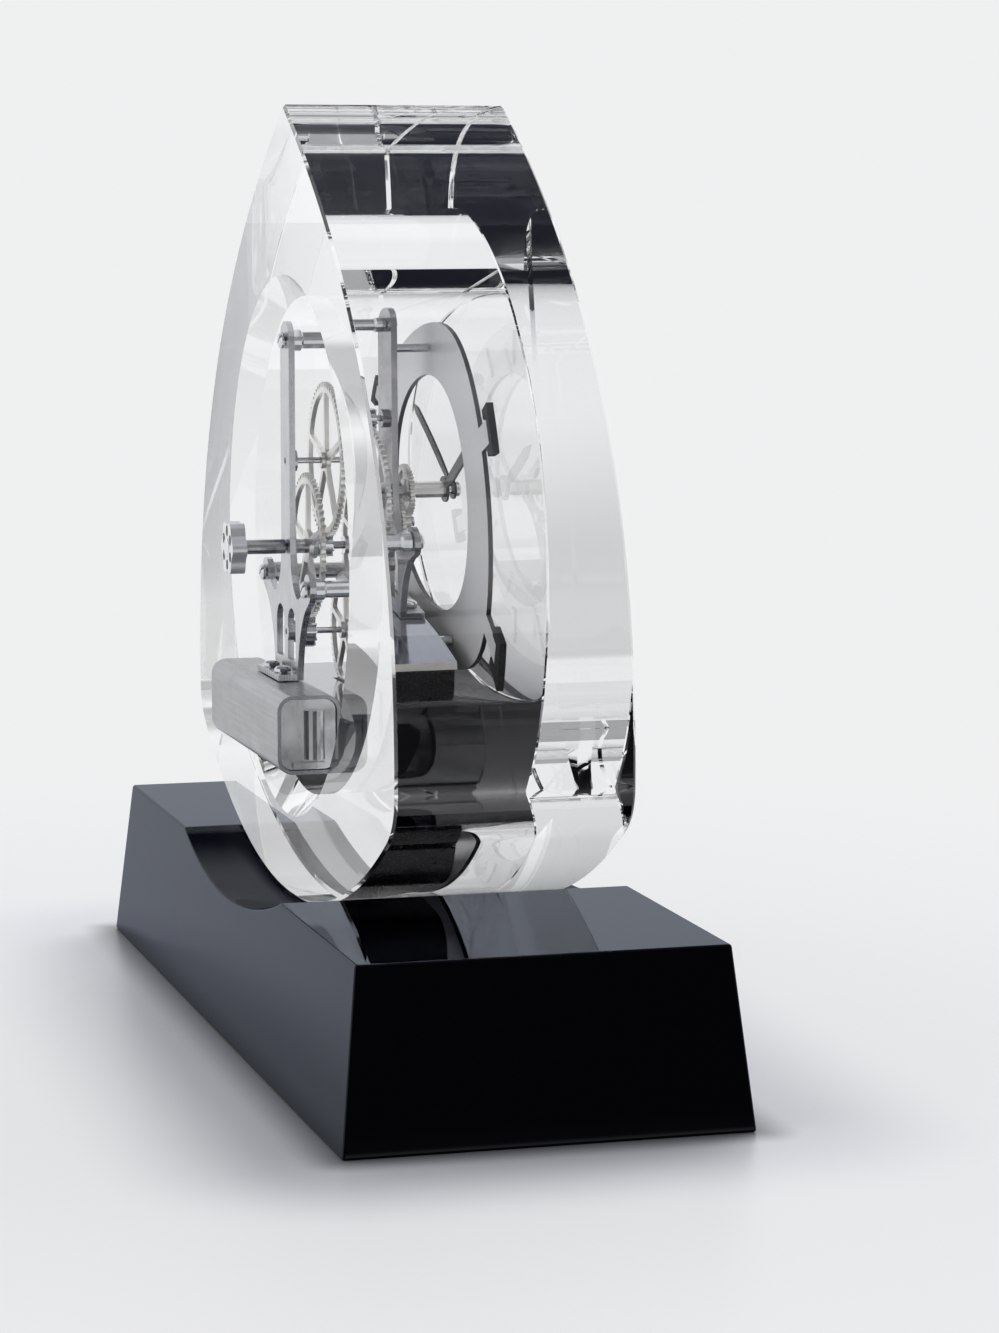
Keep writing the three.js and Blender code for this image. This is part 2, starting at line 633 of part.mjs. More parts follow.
function settingKnob() {
  const steps = 8 * KNOB_LOBES;
  const depth = 0.45;
  const rim = Array.from({ length: steps }, (_, i) => {
    const angle = (i * TURN) / steps;
    const radius = KNOB_RADIUS - depth + depth * Math.cos(KNOB_LOBES * angle);
    return new THREE.Vector2(radius * Math.cos(angle), radius * Math.sin(angle));
  });
  const shape = new THREE.Shape(rim);
  for (let i = 0; i < KNOB_LOBES; i += 1) {
    const angle = ((i + 0.5) * TURN) / KNOB_LOBES;
    const at = [KNOB_HOLE_CIRCLE * Math.cos(angle), KNOB_HOLE_CIRCLE * Math.sin(angle)];
    shape.holes.push(circle(KNOB_HOLE_RADIUS, 10, at));
  }
  const disc = slab(shape, KNOB_FRONT + 0.9, KNOB_FRONT + KNOB_THICKNESS - 0.5);
  const hub = turned([
    [0, KNOB_FRONT], [KNOB_HUB_RADIUS, KNOB_FRONT],
    [KNOB_HUB_RADIUS, KNOB_FRONT + KNOB_THICKNESS - 0.4],
    [KNOB_HUB_RADIUS - 0.5, KNOB_FRONT + KNOB_THICKNESS], [0, KNOB_FRONT + KNOB_THICKNESS],
  ]);
  const bore = rod(CENTRE_ARBOR_RADIUS + PRESS_GAP, KNOB_FRONT - 1, KNOB_FRONT + KNOB_THICKNESS / 2 + 0.2);
  return cut(join(disc, hub), bore);
}

// Motion work in front of the front plate
const CANNON_BACK = FRONT_PLATE_FRONT - 0.4;
const CANNON_LEAVES_FRONT = CANNON_BACK - 2;
const MINUTE_WHEEL_FRONT = CANNON_LEAVES_FRONT + 0.3;
const HOUR_WHEEL_FRONT = CANNON_LEAVES_FRONT - WHEEL_THICKNESS - 0.7;

function cannonPinion() {
  const bore = CENTRE_ARBOR_RADIUS + PRESS_GAP;
  const leaves = pinion({
    leaves: CANNON_LEAVES, module: CANNON_MODULE, phase: DOWN, bore,
    front: CANNON_LEAVES_FRONT, back: CANNON_BACK,
  });
  return join(leaves, tube(bore, CANNON_RADIUS, MINUTE_HAND_FRONT - 0.1, CANNON_LEAVES_FRONT + 0.1));
}

function minuteWheel() {
  const bore = ARBOR_RADIUS + RUN_GAP;
  const body = wheel({
    teeth: MINUTE_TEETH, module: CANNON_MODULE, phase: UP, gapThere: true, spokes: 4, hub: 2.6, bore,
    front: MINUTE_WHEEL_FRONT, thickness: 1,
  });
  const leaves = pinion({
    leaves: MINUTE_LEAVES, module: HOUR_MODULE, phase: UP, bore,
    front: HOUR_WHEEL_FRONT - 0.5, back: MINUTE_WHEEL_FRONT + 0.1,
  });
  return join(body, leaves);
}

function minuteStud() {
  const head = HOUR_WHEEL_FRONT - 0.8;
  return turned([
    [0, head - 0.5], [1.5, head - 0.5], [1.5, head], [ARBOR_RADIUS, head],
    [ARBOR_RADIUS, FRONT_PLATE_BACK - 0.2], [0, FRONT_PLATE_BACK - 0.2],
  ], 16);
}

function hourWheel() {
  const bore = CANNON_RADIUS + RUN_GAP;
  const body = wheel({
    teeth: HOUR_TEETH, module: HOUR_MODULE, phase: DOWN, gapThere: true, spokes: 4, hub: 3.5, bore,
    front: HOUR_WHEEL_FRONT, thickness: WHEEL_THICKNESS,
  });
  return join(body, tube(bore, HOUR_PIPE_RADIUS, HOUR_HAND_FRONT - 0.1, HOUR_WHEEL_FRONT + 0.1));
}

// A baton hand that points up, with a round boss and a short tail
function hand(length, halfWidth, bore, front) {
  const boss = bore + 1.7;
  const side = [
    [halfWidth * 0.6, boss * 0.9], [halfWidth, length * 0.3],
    [halfWidth, length - 3 * halfWidth], [0, length],
  ];
  const right = side.map(([x, z]) => new THREE.Vector2(x, z));
  const left = side.slice(0, 3).reverse().map(([x, z]) => new THREE.Vector2(-x, z));
  const from = Math.atan2(boss * 0.9, -halfWidth * 0.6);
  const to = Math.atan2(boss * 0.9, halfWidth * 0.6) + TURN;
  const eye = arc(Math.hypot(boss * 0.9, halfWidth * 0.6), from, to, 18).slice(1, -1);
  const shape = new THREE.Shape([...right, ...left, ...eye]);
  shape.holes.push(circle(bore));
  return slab(shape, front, front + HAND_THICKNESS);
}

function handNut() {
  const bore = CENTRE_ARBOR_RADIUS + PRESS_GAP;
  return turned([
    [bore, HAND_NUT_FRONT + 0.2], [1.7, HAND_NUT_FRONT], [2.3, HAND_NUT_FRONT + 0.5],
    [2.3, MINUTE_HAND_FRONT - SEAT_GAP], [bore, MINUTE_HAND_FRONT - SEAT_GAP], [bore, HAND_NUT_FRONT + 0.2],
  ]);
}

// Motor housing with the rotor's well, and the deck plate over it
function wheelDip(height, clearance) {
  const radius = (LOWER_TEETH / 2 + 0.8) * LOWER_MODULE;
  return Math.sqrt(radius ** 2 - (LOWER_HEIGHT - height) ** 2) + clearance;
}

const WELL_FRONT = LOWER_WHEEL_FRONT - PINION_OVERLAP - SEAT_GAP;
const WELL_BACK = LOWER_WHEEL_FRONT + WHEEL_THICKNESS + PINION_OVERLAP + SEAT_GAP;
const ROTOR_REACH = 3;

function motorHousing() {
  const outline = roundedRectangle(
    -HOUSING_HALF_LENGTH, HOUSING_HALF_LENGTH, HOUSING_BOTTOM, HOUSING_TOP, 1, HOUSING_CORNER,
  );
  const body = slab(outline, HOUSING_FRONT, HOUSING_BACK, 6);
  const half = (ROTOR_LEAVES / 2 + 0.8) * LOWER_MODULE + 0.4;
  const well = block(-half, half, WELL_FRONT, WELL_BACK, ROTOR_HEIGHT - half, HOUSING_TOP + 1);
  const bore = rod(
    ARBOR_RADIUS + RUN_GAP, WELL_FRONT - ROTOR_REACH - SEAT_GAP, WELL_BACK + ROTOR_REACH + SEAT_GAP, 20,
  ).translate(0, 0, ROTOR_HEIGHT);
  const screwHoles = [-1, 1].map((side) =>
    uprightRod(SCREW_SHANK + PRESS_GAP * 2, HOUSING_TOP - SCREW_DEPTH, HOUSING_TOP + 1, 12)
      .translate(side * FOOT_SCREW_X, footScrewY(FRONT_PLATE_FRONT, -1), 0));
  return cut(body, well, bore, ...screwHoles);
}

function deckPlate() {
  const half = HOUSING_HALF_LENGTH + DECK_OVERHANG;
  const shape = new THREE.Shape();
  const front = HOUSING_FRONT - 0.4;
  shape.moveTo(-half, front);
  shape.lineTo(half, front);
  shape.lineTo(half, HOUSING_BACK);
  shape.lineTo(-half, HOUSING_BACK);
  const plate = new THREE.ExtrudeGeometry(shape, { depth: DECK_THICKNESS, bevelEnabled: false })
    .translate(0, 0, DECK_BOTTOM);
  const dip = wheelDip(DECK_TOP, 1);
  const slot = block(-dip, dip, WELL_FRONT, WELL_BACK, DECK_BOTTOM - 1, DECK_TOP + 1);
  const screwHoles = [-1, 1].map((side) =>
    uprightRod(SCREW_SHANK + PRESS_GAP * 2, DECK_BOTTOM - 1, DECK_TOP + 1, 12)
      .translate(side * FOOT_SCREW_X, footScrewY(FRONT_PLATE_FRONT, -1), 0));
  return cut(plate, slot, ...screwHoles);
}

// Battery box: a rounded sleeve with a cap at each end and one AA cell inside
const BOX_MIDDLE_Y = (BOX_FRONT + BOX_BACK) / 2;
const BOX_MIDDLE_Z = (BOX_BOTTOM + BOX_TOP) / 2;
const CAP_END = BOX_HALF_LENGTH - CAP_INSET;
const CELL_NEAR = -CAP_END + CAP_THICKNESS + 1;
const CELL_FAR = CELL_NEAR + NUB_LENGTH + CELL_LENGTH;
const SPRING_LENGTH = 3;

function boxSection(inset) {
  return roundedRectangle(
    BOX_FRONT + inset, BOX_BACK - inset, BOX_BOTTOM + inset, BOX_TOP - inset, BOX_CORNER - inset,
  );
}

function batterySleeve() {
  const section = boxSection(0);
  section.holes.push(boxSection(BOX_WALL));
  const holes = [-1, 1].map((side) =>
    uprightRod(SCREW_SHANK + PRESS_GAP * 2, BOX_TOP - BOX_WALL - 1, BOX_TOP + 1, 12)
      .translate(side * FOOT_SCREW_X, footScrewY(REAR_PLATE_FRONT, 1), 0));
  return cut(bar(section, -BOX_HALF_LENGTH, BOX_HALF_LENGTH), ...holes);
}

function capPlate(inset) {
  return bar(boxSection(BOX_WALL + inset), -CAP_END, -CAP_END + CAP_THICKNESS);
}

function batteryEndCap() {
  const grip = uprightRod(GRIP_RADIUS, BOX_MIDDLE_Z - GRIP_HALF_HEIGHT, BOX_MIDDLE_Z + GRIP_HALF_HEIGHT)
    .translate(-CAP_END - 0.2, BOX_MIDDLE_Y - 1.5, 0);
  const lip = block(
    -CAP_END - 1.2, -CAP_END + 1, BOX_FRONT + BOX_WALL + 3, BOX_BACK - BOX_WALL - 3,
    BOX_BOTTOM + BOX_WALL + 0.6, BOX_BOTTOM + BOX_WALL + 2,
  );
  return cut(join(capPlate(0.15), grip, lip), block(
    -CAP_END + CAP_THICKNESS, 0, BOX_FRONT, BOX_BACK, BOX_BOTTOM, BOX_TOP,
  ));
}

function cell() {
  const profile = [
    [0, 0], [NUB_RADIUS, 0], [NUB_RADIUS, NUB_LENGTH], [CELL_RADIUS - 0.5, NUB_LENGTH],
    [CELL_RADIUS, NUB_LENGTH + 0.6], [CELL_RADIUS, NUB_LENGTH + CELL_LENGTH], [0, NUB_LENGTH + CELL_LENGTH],
  ];
  return turned(profile, 28).rotateZ(-Math.PI / 2);
}

function contactSpring() {
  const turns = 2.5;
  const steps = 24;
  const wire = 0.35;
  const points = Array.from({ length: steps + 1 }, (_, i) => {
    const share = i / steps;
    const radius = 4.4 - 1.6 * share;
    const angle = share * turns * TURN;
    return new THREE.Vector3(
      wire + share * (SPRING_LENGTH - 2 * wire), radius * Math.cos(angle), radius * Math.sin(angle),
    );
  });
  const section = new THREE.Shape(arc(wire, 0, TURN, 5).slice(0, 5));
  return new THREE.ExtrudeGeometry(section, {
    steps, extrudePath: new THREE.CatmullRomCurve3(points), bevelEnabled: false,
  });
}

// Assembly
place("base_block", baseBlock(), material.black);

const head = new THREE.Group();
clock.add(head);
place("crystal_block", crystalBlock(), material.crystal, [0, 0, 0], head);

const movement = new THREE.Group();
head.add(movement);
const atCentre = [0, 0, CENTRE_HEIGHT];
const atThird = [0, 0, THIRD_HEIGHT];
const atLower = [0, 0, LOWER_HEIGHT];
const atMotion = [0, 0, MOTION_HEIGHT];

place("chapter_ring", chapterRing(), material.satin, atCentre, movement);
BUMPER_ANGLES.forEach((angle, i) =>
  place(`ring_bumper_${i + 1}`, ringBumper(angle), material.rubber, atCentre, movement));

const FOOT_CIRCLE = (RING_INNER + RING_OUTER) / 2;
const LOW_FOOT_X = 20;
const lowFootZ = CENTRE_HEIGHT - Math.sqrt(FOOT_CIRCLE ** 2 - LOW_FOOT_X ** 2);
place("dial_foot_top", dialFoot(FRONT_PLATE_FRONT - SEAT_GAP), material.steel,
  [0, 0, CENTRE_HEIGHT + FOOT_CIRCLE], movement);
place("dial_foot_left", dialFoot(HOUSING_FRONT - SEAT_GAP), material.steel,
  [-LOW_FOOT_X, 0, lowFootZ], movement);
place("dial_foot_right", dialFoot(HOUSING_FRONT - SEAT_GAP), material.steel,
  [LOW_FOOT_X, 0, lowFootZ], movement);

place("front_plate",
  movementPlate(
    FRONT_PLATE_FRONT, DECK_TOP + SEAT_GAP, -1, FRONT_MAST_HALF_WIDTH,
    [[ARBOR_RADIUS + PRESS_GAP, 0, MOTION_HEIGHT]],
  ), material.steel, [0, 0, 0], movement);
place("rear_plate",
  movementPlate(REAR_PLATE_FRONT, BOX_TOP + SEAT_GAP, 1, REAR_MAST_HALF_WIDTH, []),
  material.steel, [0, 0, 0], movement);

const corners = ["top", "left", "right"];
pillarPlaces().forEach(([x, z], i) => {
  place(`pillar_${corners[i]}`, pillar(), material.steel, [x, 0, z], movement);
  const shank = PLATE_THICKNESS + 2 * SEAT_GAP + SCREW_DEPTH - 1;
  place(`rear_screw_${corners[i]}`, screw(shank), material.steel,
    [x, REAR_PLATE_BACK + SEAT_GAP, z], movement);
  place(`front_screw_${corners[i]}`, screw(shank).rotateZ(Math.PI), material.steel,
    [x, FRONT_PLATE_FRONT - SEAT_GAP, z], movement);
});

place("motor_housing", motorHousing(), material.plastic, [0, 0, 0], movement);
place("deck_plate", deckPlate(), material.brass, [0, 0, 0], movement);

const footScrews = [
  ["front", FRONT_PLATE_FRONT, -1, DECK_TOP + SEAT_GAP, DECK_THICKNESS + SCREW_DEPTH],
  ["rear", REAR_PLATE_FRONT, 1, BOX_TOP + SEAT_GAP, BOX_WALL + 0.6],
];
footScrews.forEach(([end, plateFront, direction, bottom, grip]) => {
  [-1, 1].forEach((side) => {
    const geometry = screw(FOOT_THICKNESS + grip).rotateX(Math.PI / 2);
    const seat = bottom + FOOT_THICKNESS + SEAT_GAP;
    place(`${end}_foot_screw_${side < 0 ? "left" : "right"}`, geometry, material.steel,
      [side * FOOT_SCREW_X, footScrewY(plateFront, direction), seat], movement);
  });
});

place("rotor_pinion", arborWithPinion(
  ROTOR_LEAVES, LOWER_MODULE, UP, false, WELL_FRONT + SEAT_GAP, WELL_BACK - SEAT_GAP,
  WELL_FRONT - ROTOR_REACH, WELL_BACK + ROTOR_REACH,
), material.steel, [0, 0, ROTOR_HEIGHT], movement);

place("lower_arbor", arborWithPinion(
  LOWER_LEAVES, SECONDS_MODULE, UP, false, SECONDS_WHEEL_FRONT - PINION_OVERLAP,
  SECONDS_WHEEL_FRONT + WHEEL_THICKNESS + PINION_OVERLAP, JOURNAL_FRONT, JOURNAL_BACK,
), material.steel, atLower, movement);
place("lower_wheel", wheelOnArbor({
  teeth: LOWER_TEETH, module: LOWER_MODULE, phase: DOWN, gapThere: true, spokes: 5, front: LOWER_WHEEL_FRONT,
}), material.brass, atLower, movement);

place("seconds_pinion", secondsPinion(), material.steel, atCentre, movement);
place("seconds_wheel", wheel({
  teeth: SECONDS_TEETH, module: SECONDS_MODULE, phase: DOWN, gapThere: true, spokes: 5, hub: WHEEL_HUB + 1,
  bore: SETTING_SHAFT_RADIUS + PRESS_GAP, front: SECONDS_WHEEL_FRONT, thickness: WHEEL_THICKNESS,
}), material.brass, atCentre, movement);

place("third_arbor", arborWithPinion(
  PINION_LEAVES, CENTRE_MODULE, DOWN, true, CENTRE_WHEEL_FRONT - PINION_OVERLAP,
  CENTRE_WHEEL_FRONT + WHEEL_THICKNESS + PINION_OVERLAP, JOURNAL_FRONT, JOURNAL_BACK,
), material.steel, atThird, movement);
place("third_wheel", wheelOnArbor({
  teeth: THIRD_TEETH, module: THIRD_MODULE, phase: DOWN, spokes: 5, front: THIRD_WHEEL_FRONT,
}), material.brass, atThird, movement);

place("centre_wheel", centreWheel(), material.brass, atCentre, movement);
place("clutch_spring", clutchSpring(), material.steel, atCentre, movement);
place("clutch_collar",
  tube(
    CENTRE_ARBOR_RADIUS + PRESS_GAP, ARBOR_COLLAR_RADIUS,
    CLUTCH_COLLAR_FRONT, CLUTCH_COLLAR_FRONT + ARBOR_COLLAR_LENGTH,
  ), material.steel, atCentre, movement);

place("centre_arbor", centreArbor(), material.steel, atCentre, movement);
place("setting_knob", settingKnob(), material.steel, atCentre, movement);
place("cannon_pinion", cannonPinion(), material.steel, atCentre, movement);
place("minute_wheel", minuteWheel(), material.brass, atMotion, movement);
place("minute_stud", minuteStud(), material.steel, atMotion, movement);
place("hour_wheel", hourWheel(), material.brass, atCentre, movement);

const hourAngle = (HOUR_SHOWN + MINUTES_SHOWN / 60) * (TURN / 12);
const minuteAngle = MINUTES_SHOWN * (TURN / 60);
place("hour_hand", hand(HOUR_HAND_LENGTH, 1.7, HOUR_PIPE_RADIUS + PRESS_GAP, HOUR_HAND_FRONT),
  material.hand, atCentre, movement).rotation.y = hourAngle;
place("minute_hand", hand(MINUTE_HAND_LENGTH, 1.4, CANNON_RADIUS + PRESS_GAP, MINUTE_HAND_FRONT),
  material.hand, atCentre, movement).rotation.y = minuteAngle;
place("hand_nut", handNut(), material.steel, atCentre, movement);

place("battery_sleeve", batterySleeve(), material.satin, [0, 0, 0], movement);
place("battery_end_cap", batteryEndCap(), material.steel, [0, 0, 0], movement);
place("battery_far_cap", capPlate(0.15).rotateY(Math.PI).translate(0, 0, 2 * BOX_MIDDLE_Z), material.plastic,
  [0, 0, 0], movement);
place("battery_cell", cell(), material.cell, [CELL_NEAR, BOX_MIDDLE_Y, BOX_MIDDLE_Z], movement);
place("contact_spring", contactSpring(), material.steel,
  [CELL_FAR + SEAT_GAP, BOX_MIDDLE_Y, BOX_MIDDLE_Z], movement);
place("circuit_module", bar(
  boxSection(BOX_WALL + SEAT_GAP),
  CELL_FAR + SPRING_LENGTH + 2 * SEAT_GAP, CAP_END - CAP_THICKNESS - SEAT_GAP,
), material.plastic, [0, 0, 0], movement);

export default clock;
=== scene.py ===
"""A crystal mantel clock in a plain studio.

Metres, in the row's frame: +X along the base, +Y to the back, +Z up. Outlines are (x, z) points.
"""

import math

import bmesh
import bpy
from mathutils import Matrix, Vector
from mathutils.geometry import tessellate_polygon


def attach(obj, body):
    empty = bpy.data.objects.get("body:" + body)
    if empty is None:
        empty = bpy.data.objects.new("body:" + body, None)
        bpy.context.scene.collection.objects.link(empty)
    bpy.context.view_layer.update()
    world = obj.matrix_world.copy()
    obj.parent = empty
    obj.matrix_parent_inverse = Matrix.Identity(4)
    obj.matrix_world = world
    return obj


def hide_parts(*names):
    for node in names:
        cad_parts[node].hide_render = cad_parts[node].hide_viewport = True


TURN = 2 * math.pi
UP, DOWN = math.pi / 2, -math.pi / 2

# Crystal and base, as the solids have them
APEX = 0.241
SWING_RADIUS = APEX - 0.0354
HALF_WIDTH = 0.1148
APEX_SLOPE = math.radians(28.9)
APEX_PULL = 0.069
SIDE_PULL = 0.081
CORNER_RADIUS = 0.008
SIDE_STRAIGHT = 0.0036
BACK_FACE = 0.0296
EDGE_BEVEL = 0.0007
POCKET_RADIUS = 0.065
POCKET_FLOOR = BACK_FACE - 0.048
POCKET_FILLET = 0.0008
FILLET_MIDDLE = POCKET_FILLET * 0.3
MOUTH_RADIUS = 0.0705
MOUTH_DEPTH = 0.006
CENTRE = 0.127
BASE_HALF_LENGTH = 0.145
BASE_HALF_DEPTH = 0.05
BASE_HEIGHT = 0.044
BASE_END_SLOPE = 0.0056
BASE_SIDE_SLOPE = 0.0046
BASE_BEVEL = 0.0007
SEAT_GAP = 0.0003

# Steps along curves
FLANK_STEPS = 90
KNEE_STEPS = 13
BOTTOM_STEPS = 50
HOLLOW_STEPS = 96
POCKET_STEPS = 192
TURNED_STEPS = 48
BORE_STEPS = 32
WINDOW_STEPS = 24
HUB_STEPS = 10
KNOB_RIM_STEPS = 144
KNOB_HOLE_STEPS = 28

# Train and setting knob
ARBOR_RISE = 0.02232
THIRD = CENTRE + ARBOR_RISE
LOWER = CENTRE - ARBOR_RISE
SPOKES = 5
SPOKE_WIDTH = 0.0015
SPOKE_TAPER = 1.25
RIM_MODULES = 2.6
RIM_DEPTH = 0.0006
WINDOW_CORNER = 0.0004
WINDOW_CORNER_ANGLE = 0.035
TOOTH_BEVEL = 0.00006
SLEEVE_BEVEL = 0.0001
KNOB_FRONT = 0.0406
KNOB_BACK = KNOB_FRONT + 0.005
KNOB_RADIUS = 0.00735
KNOB_LOBES = 6
LOBE_DEPTH = 0.0006
KNOB_HOLE_RADIUS = 0.0014
KNOB_HOLE_RING = 0.0044
KNOB_DISC_FRONT = KNOB_FRONT + 0.0007
KNOB_DISC_BACK = KNOB_BACK - 0.0004
KNOB_DISC_BEVEL = 0.00035
KNOB_HUB_RADIUS = 0.0026
KNOB_HUB_SHOULDER = KNOB_BACK - 0.0003
KNOB_HUB_FACE_RADIUS = 0.0021
KNOB_HUB_BEVEL = 0.0002

# Half a tooth from root to tip: modules beyond the pitch circle, half width as a share of a step
HALF_TOOTH = [(-1.25, 0.3024), (-1.03, 0.2538), (-0.2, 0.185),
              (0.3, 0.1408), (0.64, 0.098), (0.8, 0.05)]

# Camera: behind the clock, beyond the near end of the base
CAMERA_PLACE = (-0.9674848, 0.2464804, 0.2175763)
CAMERA_YAW, CAMERA_PITCH = -0.2768, -0.1228
CAMERA_LENS = 102.9

# Room. A fade is none at its first value and whole at its second; X, Y and Z are those of the
# direction looked in. Of two shades, the second is for rays that come through the crystal.
BACKDROP = (0.865, 0.87, 0.875, 1)
ROOM_COLOUR = (0.985, 0.99, 1.0, 1)
OVERHEAD_COLOUR = (0.88, 0.95, 1.30, 1)
DIFFUSE_LEVEL = 0.93
NEAR_END_X, NEAR_END_Z = (-0.30, -0.62), (0.85, 0.60)
NEAR_END_SHADES = (0.93, 0.60)
CEILING_Z = (0.36, 0.62)
CEILING_SHADES = (0.46, 0.08)
FAR_CORNER_X, FAR_CORNER_Y = (0.60, 0.85), (0.16, 0.30)
FAR_CORNER_SHADES = (0.0, 0.24)
OVERHEAD_Z = (0.66, 0.84)
OVERHEAD_SHADE = 0.60
ZENITH_Z, ZENITH_X = (0.86, 0.93), (0.45, 0.25)
ZENITH_SHADE = 0.70

# Floor. Its fades go by the distance from the base, by the place's X or by the distance to a spot.
FLOOR_REACH = 30
FLOOR_ROUGHNESS = 0.35
FLOOR_COLOUR = (0.86, 0.87, 0.93, 1)
# Painted contact shadow: the floor's colour darkens close round the base
CONTACT_SHADOW_COLOUR = (0.20, 0.205, 0.22, 1)
CONTACT_SHADOW_FADE = (-0.002, 0.012)
NEAR_FADE, NEAR_SHARE = (0.012, 0.06), 0.66
FAR_FADE, FAR_SHARE = (0.04, 0.32), 0.34
CRYSTAL_FADE = (0.0, 0.05)
# Painted shade in the floor's glow: at the near end in reflections, and round a far spot seen
# through the crystal
DARK_FLOOR_X = (-0.25, -0.60)
DARK_FLOOR_SHADES = (0.88, 0.0)
FAR_SHADE_SPOT = (0.44, 0.10, 0)
FAR_SHADE_FADE = (0.17, 0.07)

# Lamps: name, place, diameter, power. All point at the clock.
LAMPS = [("key", (0.9, -0.9, 1.6), 1.4, 14), ("fill", (0.2, 1.6, 1.4), 1.6, 6)]
LAMP_TARGET = (0, 0, 0.1)

# Black crystal: shares of mirror, and tones and places of the hollow under the clear crystal.
# The hollow's black and weak mirror are painted shade; its grey low down is a painted reflection.
BASE_MIRROR = 0.49
HOLLOW_MIRROR = 0.05
MIRROR_COLOUR = (0.80, 0.86, 1.0, 1)
MIRROR_ROUGHNESS = 0.02
# Painted shade: the matt black of the hollow
HOLLOW_SHADE_BLACK = (0.0006, 0.0014, 0.0060, 1)
# Painted reflection: grey low in the hollow's open parts, before and behind the crystal
HOLLOW_REFLECTION_GREY = (0.085, 0.090, 0.102, 1)
REFLECTION_FADE_Y = (BACK_FACE, BACK_FACE + 0.005)
REFLECTION_FADE_Z = (BASE_HEIGHT - 0.0025, BASE_HEIGHT - 0.0080)
HOLLOW_FADE_Z = (BASE_HEIGHT - 0.0006, BASE_HEIGHT - 0.0016)
HOLLOW_FACING = (0.5, 0.8)

# Materials: the stretch of a brushed grain, the tone of a two-tone plate's grain, scales of noise
CLEAR_IOR = 1.52
BLACK_IOR = 1.5
PLAIN = (1, 1, 1)
ALONG_X = (0.05, 1, 1)
ALONG_Z = (1, 1, 0.06)
GRAIN_SHADE = 0.88
METAL_PATCHES = 90
FINE_GRAIN = 900
PLASTIC_PATCHES = 60
PLASTIC_GRAIN = 1400
GLASS_PATCHES = 12
BLACK_PATCHES = 9
BLACK_GRAIN = 35
METAL_RELIEF = 0.00004
PLASTIC_RELIEF = 0.00003
COLOUR_ENDS = (0.35, 0.65)
ROUGHNESS_ENDS = (0.3, 0.7)
FACE_OR_EDGE = (0.5, 0.95)

# Edges sharper than these angles, in degrees, stay sharp and are bevelled
USUAL_ANGLE = 25
CRYSTAL_ANGLE = 22
BASE_ANGLE = 12
WHEEL_ANGLE = 30
KNOB_ANGLE = 35
NODE_ANGLE = 32


# Shader nodes

def feed(tree, value, socket):
    """Links a socket's value, or sets a plain one."""
    if isinstance(value, bpy.types.NodeSocket):
        tree.links.new(value, socket)
    else:
        socket.default_value = value


def math_node(tree, operation, *values):
    """The operation on one or two values, or on more of them, one after another."""
    node = tree.nodes.new("ShaderNodeMath")
    node.operation = operation
    for socket, value in zip(node.inputs, values[:2]):
        feed(tree, value, socket)
    result = node.outputs[0]
    return math_node(tree, operation, result, *values[2:]) if len(values) > 2 else result


def smooth_step(tree, value, low, high):
    """0 at low, 1 at high; low may be the greater."""
    node = tree.nodes.new("ShaderNodeMapRange")
    node.interpolation_type = "SMOOTHSTEP"
    tree.links.new(value, node.inputs["Value"])
    node.inputs["From Min"].default_value = low
    node.inputs["From Max"].default_value = high
    return node.outputs["Result"]


def blend(tree, share, first, second):
    """The first number where share is 0, the second where it is 1."""
    return math_node(tree, "ADD", math_node(tree, "MULTIPLY", share, second - first), first)


def blend_colour(tree, share, first, second):
    """The first colour where share is 0, the second where it is 1."""
    node = tree.nodes.new("ShaderNodeMix")
    node.data_type = "RGBA"
    tree.links.new(share, node.inputs[0])
    # The sockets named A, B and Result occur once for each data type; these are the colours
    feed(tree, first, node.inputs[6])
    feed(tree, second, node.inputs[7])
    return node.outputs[2]


def blend_shader(tree, share, first, second):
    node = tree.nodes.new("ShaderNodeMixShader")
    for socket, source in zip(node.inputs, (share, first, second)):
        tree.links.new(source, socket)
    return node.outputs[0]


def vector_node(tree, operation, vector, other=None):
    node = tree.nodes.new("ShaderNodeVectorMath")
    node.operation = operation
    tree.links.new(vector, node.inputs[0])
    if other is not None:
        node.inputs[1].default_value = other
    return node.outputs["Value" if operation in ("LENGTH", "DISTANCE") else "Vector"]


def coordinate(tree, kind):
    return tree.nodes.new("ShaderNodeTexCoord").outputs[kind]


def axes(tree, vector):
    """The vector's X, Y and Z sockets."""
    node = tree.nodes.new("ShaderNodeSeparateXYZ")
    tree.links.new(vector, node.inputs[0])
    return node.outputs


def new_material(name):
    material = bpy.data.materials.new(name)
    material.use_nodes = True
    tree = material.node_tree
    return material, tree, tree.nodes["Principled BSDF"]


# Studio

def add_object(name, data):
    item = bpy.data.objects.new(name, data)
    bpy.context.scene.collection.objects.link(item)
    return item


def aim(item, direction):
    item.rotation_mode = "QUATERNION"
    item.rotation_quaternion = direction.to_track_quat("-Z", "Y")


def camera():
    """The photograph's view of the back, from beyond the near end of the base."""
    data = bpy.data.cameras.new("camera")
    data.sensor_width = 36
    data.lens = CAMERA_LENS
    data.clip_start = 0.01
    view = add_object("camera", data)
    view.location = CAMERA_PLACE
    level = math.cos(CAMERA_PITCH)
    aim(view, Vector((math.cos(CAMERA_YAW) * level, math.sin(CAMERA_YAW) * level,
                      math.sin(CAMERA_PITCH))))
    bpy.context.scene.camera = view


